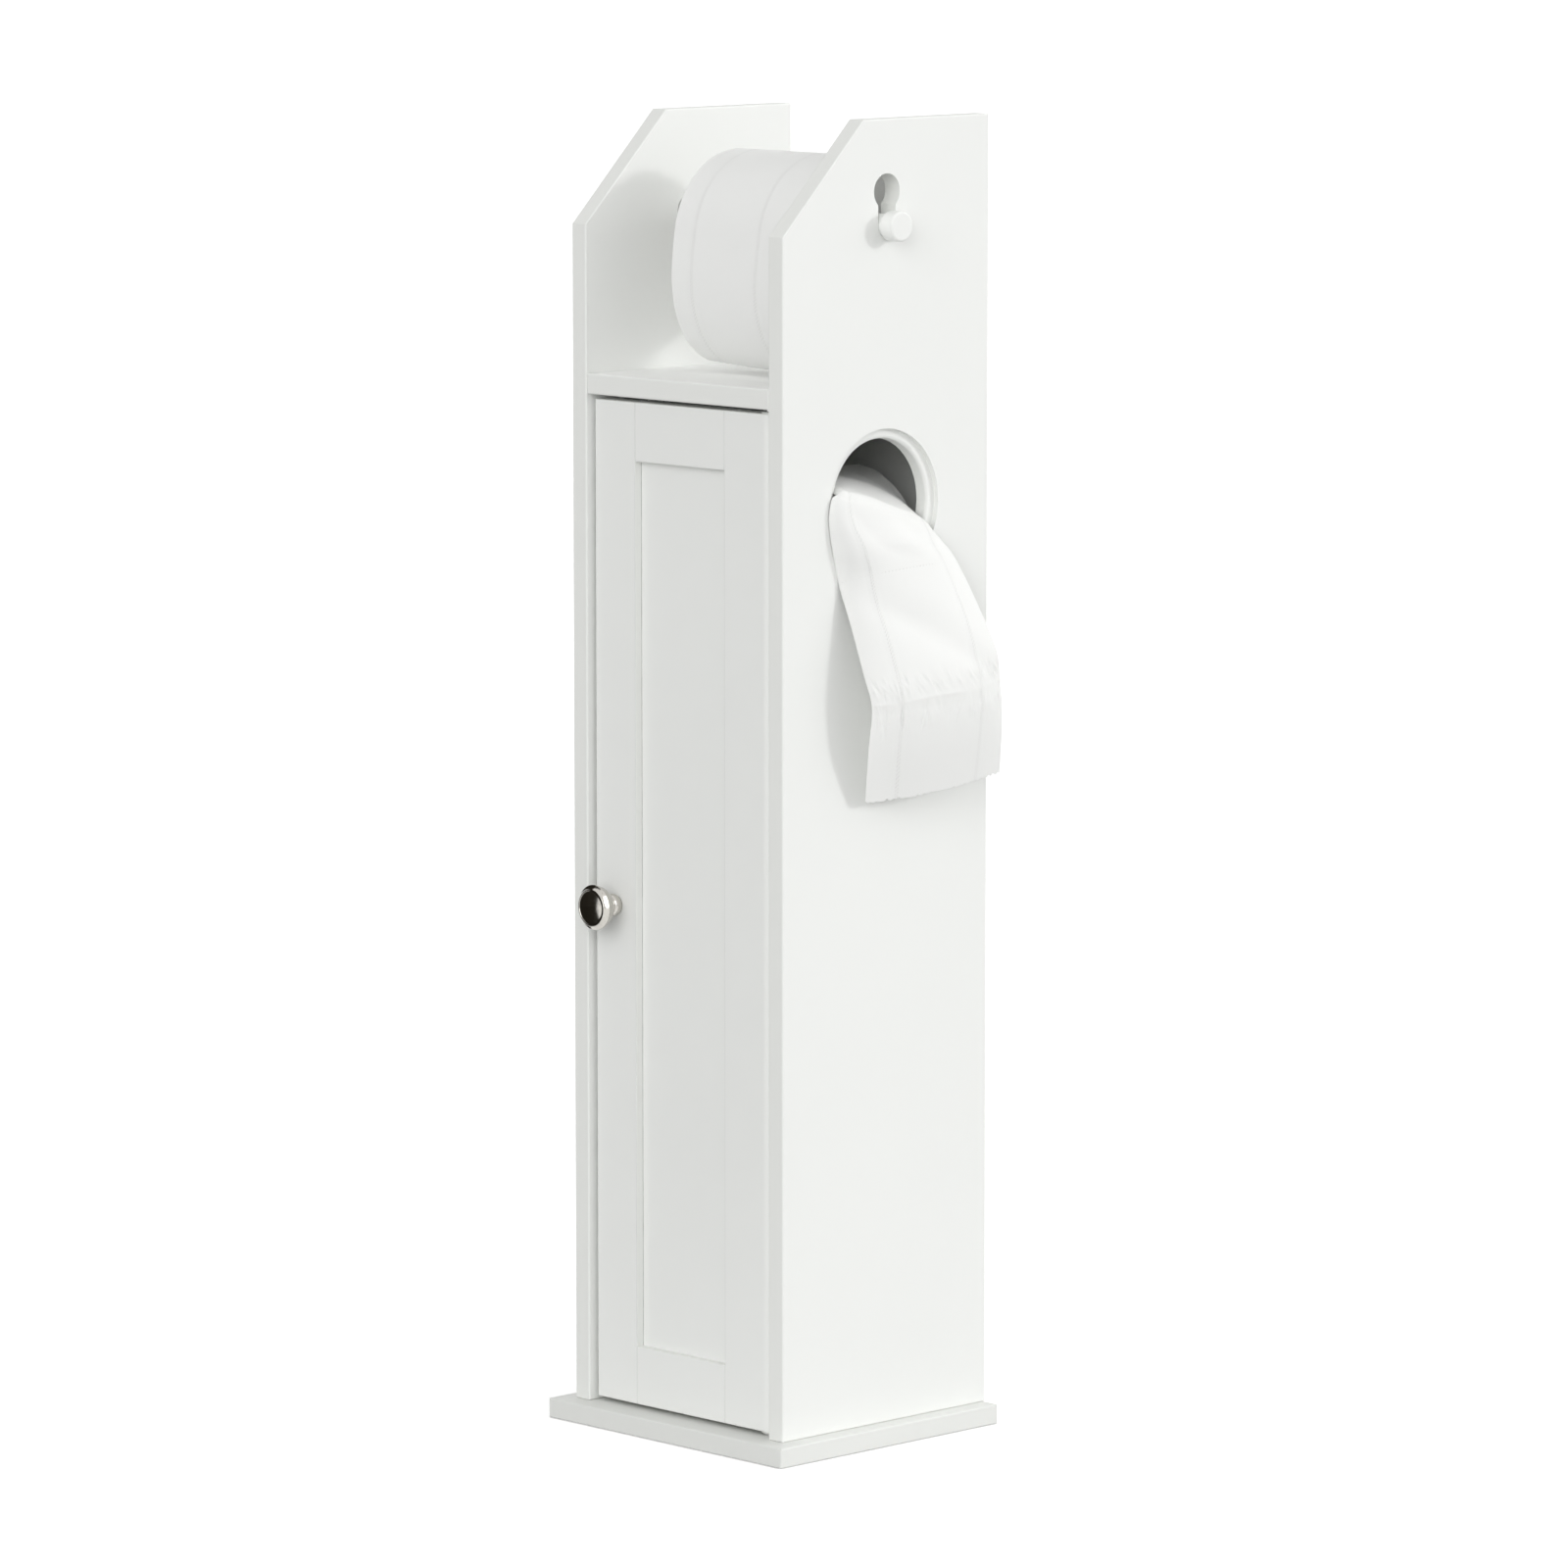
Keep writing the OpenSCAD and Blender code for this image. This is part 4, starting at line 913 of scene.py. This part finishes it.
def tail_lift(x, y):
    """Pressed lines, the hand's crease with its crinkles, folds and slow swells."""
    lines = sum(bump_at(x, line, 1.1 * MM) for line in TAIL_LINES)
    ridges = sum(
        bump_at(x, line - 4 * MM, 1.5 * MM) + bump_at(x, line + 4 * MM, 1.5 * MM)
        for line in TAIL_LINES
    )
    lift = -0.14 * MM * lines + 0.08 * MM * ridges
    crease = CREASE + 0.6 * MM * np.sin(x / (9 * MM))
    give = 0.55 + 0.45 * np.sin(x / (5.3 * MM) + 1.1) * np.sin(x / (12.7 * MM))
    lift = lift - 0.42 * MM * give * bump_at(y, crease, 1.6 * MM)
    lift = lift + 0.22 * MM * bump_at(y, crease + 6 * MM, 3 * MM)
    for cx, cy, lean, half_length, half_width, size in crinkles:
        dx, dy = x - cx, y - cy
        lift = lift + size * np.exp(-((dx - lean * dy) / half_width) ** 2 - (dy / half_length) ** 2)
    slant = x - 0.55 * (y - 84 * MM)
    lift = lift - 1.3 * MM * bump_at(slant, 44 * MM, 9 * MM) * bump_at(y, 98 * MM, 24 * MM)
    lift = lift + 0.8 * MM * bump_at(slant, 26 * MM, 7 * MM) * bump_at(y, 92 * MM, 20 * MM)
    return lift + 0.3 * MM * np.sin(x / (11 * MM) + 0.8) * np.sin(y / (17 * MM))


tail = paper_sheet(
    "lower_loose_end", tail_surface, tail_lift, TAIL_L, TAIL_COLUMNS, TAIL_ROWS, 5)
tail.data.materials.append(
    new_material("Tissue of the lower end", tissue, {
        "First line": TAIL_LINES[0], "Second line": TAIL_LINES[1],
        "Perforation": TAIL_PERFORATION,
    }, **TISSUE_SURFACE))
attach(tail, "cabinet")
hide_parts("paper_tail")


# ---- Studio ----
# A white floor that keeps the cabinet's shadow, and a white surround that glows softly
# behind the cabinet's right side. Three far lamps: a broad one lights the door, one
# grazes the side panels from behind, and a small one draws the paper's shadow.

FLOOR_HALF = 30.0
FLOOR_Z = -0.2 * MM
FLOOR_GREY = (0.55, 0.55, 0.55, 1)
FLOOR_LIFT = 0.3
FULL_WHITE = (1, 1, 1, 1)
FILL = 0.57
GLOW = 1.0
GLOW_FROM = Vector((1, 1, 0.3)).normalized()
GLOW_TIGHTNESS = 6


def new_matte(name):
    """A material without gloss. Returns it, its node tree and its shader's inputs."""
    material = bpy.data.materials.new(name)
    material.use_nodes = True
    surface = material.node_tree.nodes["Principled BSDF"].inputs
    surface["Roughness"].default_value = 1.0
    surface["Specular IOR Level"].default_value = 0.0
    return material, material.node_tree, surface


def looks_at_it(tree):
    """1 for a ray of the camera or one that gloss or glass sends on, else 0."""
    rays = add(tree, "ShaderNodeLightPath").outputs
    return larger(tree, rays["Is Camera Ray"], larger(
        tree, rays["Is Glossy Ray"], rays["Is Transmission Ray"]))


def direction(around, height):
    """A direction: its angle from +X towards +Y and its height, in degrees."""
    turn, rise = math.radians(around), math.radians(height)
    return Vector((
        math.cos(turn) * math.cos(rise), math.sin(turn) * math.cos(rise), math.sin(rise)))


floor_mesh = bpy.data.meshes.new("studio_floor")
floor_mesh.from_pydata(
    [(x * FLOOR_HALF, y * FLOOR_HALF, FLOOR_Z)
     for x, y in ((-1, -1), (1, -1), (1, 1), (-1, 1))],
    [], [(0, 1, 2, 3)],
)
floor = new_object("studio_floor", floor_mesh)
floor_paint, tree, surface = new_matte("White floor")
seen = looks_at_it(tree)
tree.links.new(blend_colours(tree, seen, FLOOR_GREY, FULL_WHITE), surface["Base Color"])
surface["Emission Color"].default_value = FULL_WHITE
tree.links.new(times(tree, seen, FLOOR_LIFT), surface["Emission Strength"])
floor.data.materials.append(floor_paint)

# A dark curtain and floor cloth, front left, that only polished metal shows
CURTAIN_AWAY = 3.0
CURTAIN_TALL = 4.0
CURTAIN_SIDES = (-112, -200)
CURTAIN_FOLDS = 22
CLOTH_FROM = 0.45
CLOTH_BLACK = (0.015, 0.013, 0.01, 1)
CLOTH_BROWN = (0.03, 0.026, 0.02, 1)
curtain_mesh = bpy.data.meshes.new("dark_curtain")
curtain_mesh.from_pydata(
    [(r * math.cos(a), r * math.sin(a), z)
     for a in np.radians(np.linspace(*CURTAIN_SIDES, CURTAIN_FOLDS + 1))
     for r, z in ((CLOTH_FROM, 1 * MM), (CURTAIN_AWAY, 1 * MM), (CURTAIN_AWAY, CURTAIN_TALL))],
    [],
    [(3 * k + j, 3 * k + j + 1, 3 * k + j + 4, 3 * k + j + 3)
     for k in range(CURTAIN_FOLDS) for j in (0, 1)],
)
curtain = new_object("dark_curtain", curtain_mesh)
curtain_cloth, tree, surface = new_matte("Dark cloth")
weave = noise(tree, object_place(tree), 40)
tree.links.new(blend_colours(tree, weave, CLOTH_BLACK, CLOTH_BROWN), surface["Base Color"])
curtain.data.materials.append(curtain_cloth)
for ray in ("camera", "diffuse", "transmission", "volume_scatter", "shadow"):
    setattr(curtain, "visible_" + ray, False)

world = bpy.data.worlds.new("White surround")
bpy.context.scene.world = world
world.use_nodes = True
tree = world.node_tree
tree.nodes.clear()
towards = add(tree, "ShaderNodeTexCoord").outputs["Generated"]
glow = vector_maths(tree, "DOT_PRODUCT", towards, tuple(GLOW_FROM), output="Value")
glow = maths(tree, "POWER", larger(tree, glow, 0.0), GLOW_TIGHTNESS)
strength = plus(tree, times(tree, glow, GLOW), FILL)
lit = add(tree, "ShaderNodeBackground", Color=(1, 1, 0.995, 1), Strength=strength)
white = add(tree, "ShaderNodeBackground", Color=FULL_WHITE, Strength=1.0)
both = add(tree, "ShaderNodeMixShader",
           i0=looks_at_it(tree), i1=lit.outputs[0], i2=white.outputs[0])
add(tree, "ShaderNodeOutputWorld", Surface=both.outputs[0])


def far_lamp(name, around, height, energy, width):
    """A far lamp: where it stands as for a direction, and its width in degrees."""
    light = bpy.data.lights.new(name, "SUN")
    light.energy = energy
    light.angle = math.radians(width)
    lamp = new_object(name, light)
    lamp.rotation_euler = direction(around, height).to_track_quat("Z", "Y").to_euler()


far_lamp("Behind", around=90, height=15, energy=0.5, width=14)
far_lamp("Front right", around=-60, height=20, energy=1.26, width=40)
far_lamp("Back right", around=38, height=15, energy=0.65, width=8)

CAMERA_AIM = Vector((3.5, 5.9, 383.8)) * MM
CAMERA_AWAY = 4.790
CAMERA_AROUND = 45.912 - 90
CAMERA_ELEVATION = 7.693
CAMERA_LENS = 185.83
camera_data = bpy.data.cameras.new("Camera")
camera_data.sensor_width = 36
camera_data.lens = CAMERA_LENS
camera_data.clip_end = 100
camera = new_object("Camera", camera_data)
back = direction(CAMERA_AROUND, CAMERA_ELEVATION)
camera.location = CAMERA_AIM + back * CAMERA_AWAY
camera.rotation_euler = back.to_track_quat("Z", "Y").to_euler()
bpy.context.scene.camera = camera
bpy.context.scene.view_settings.view_transform = "Standard"
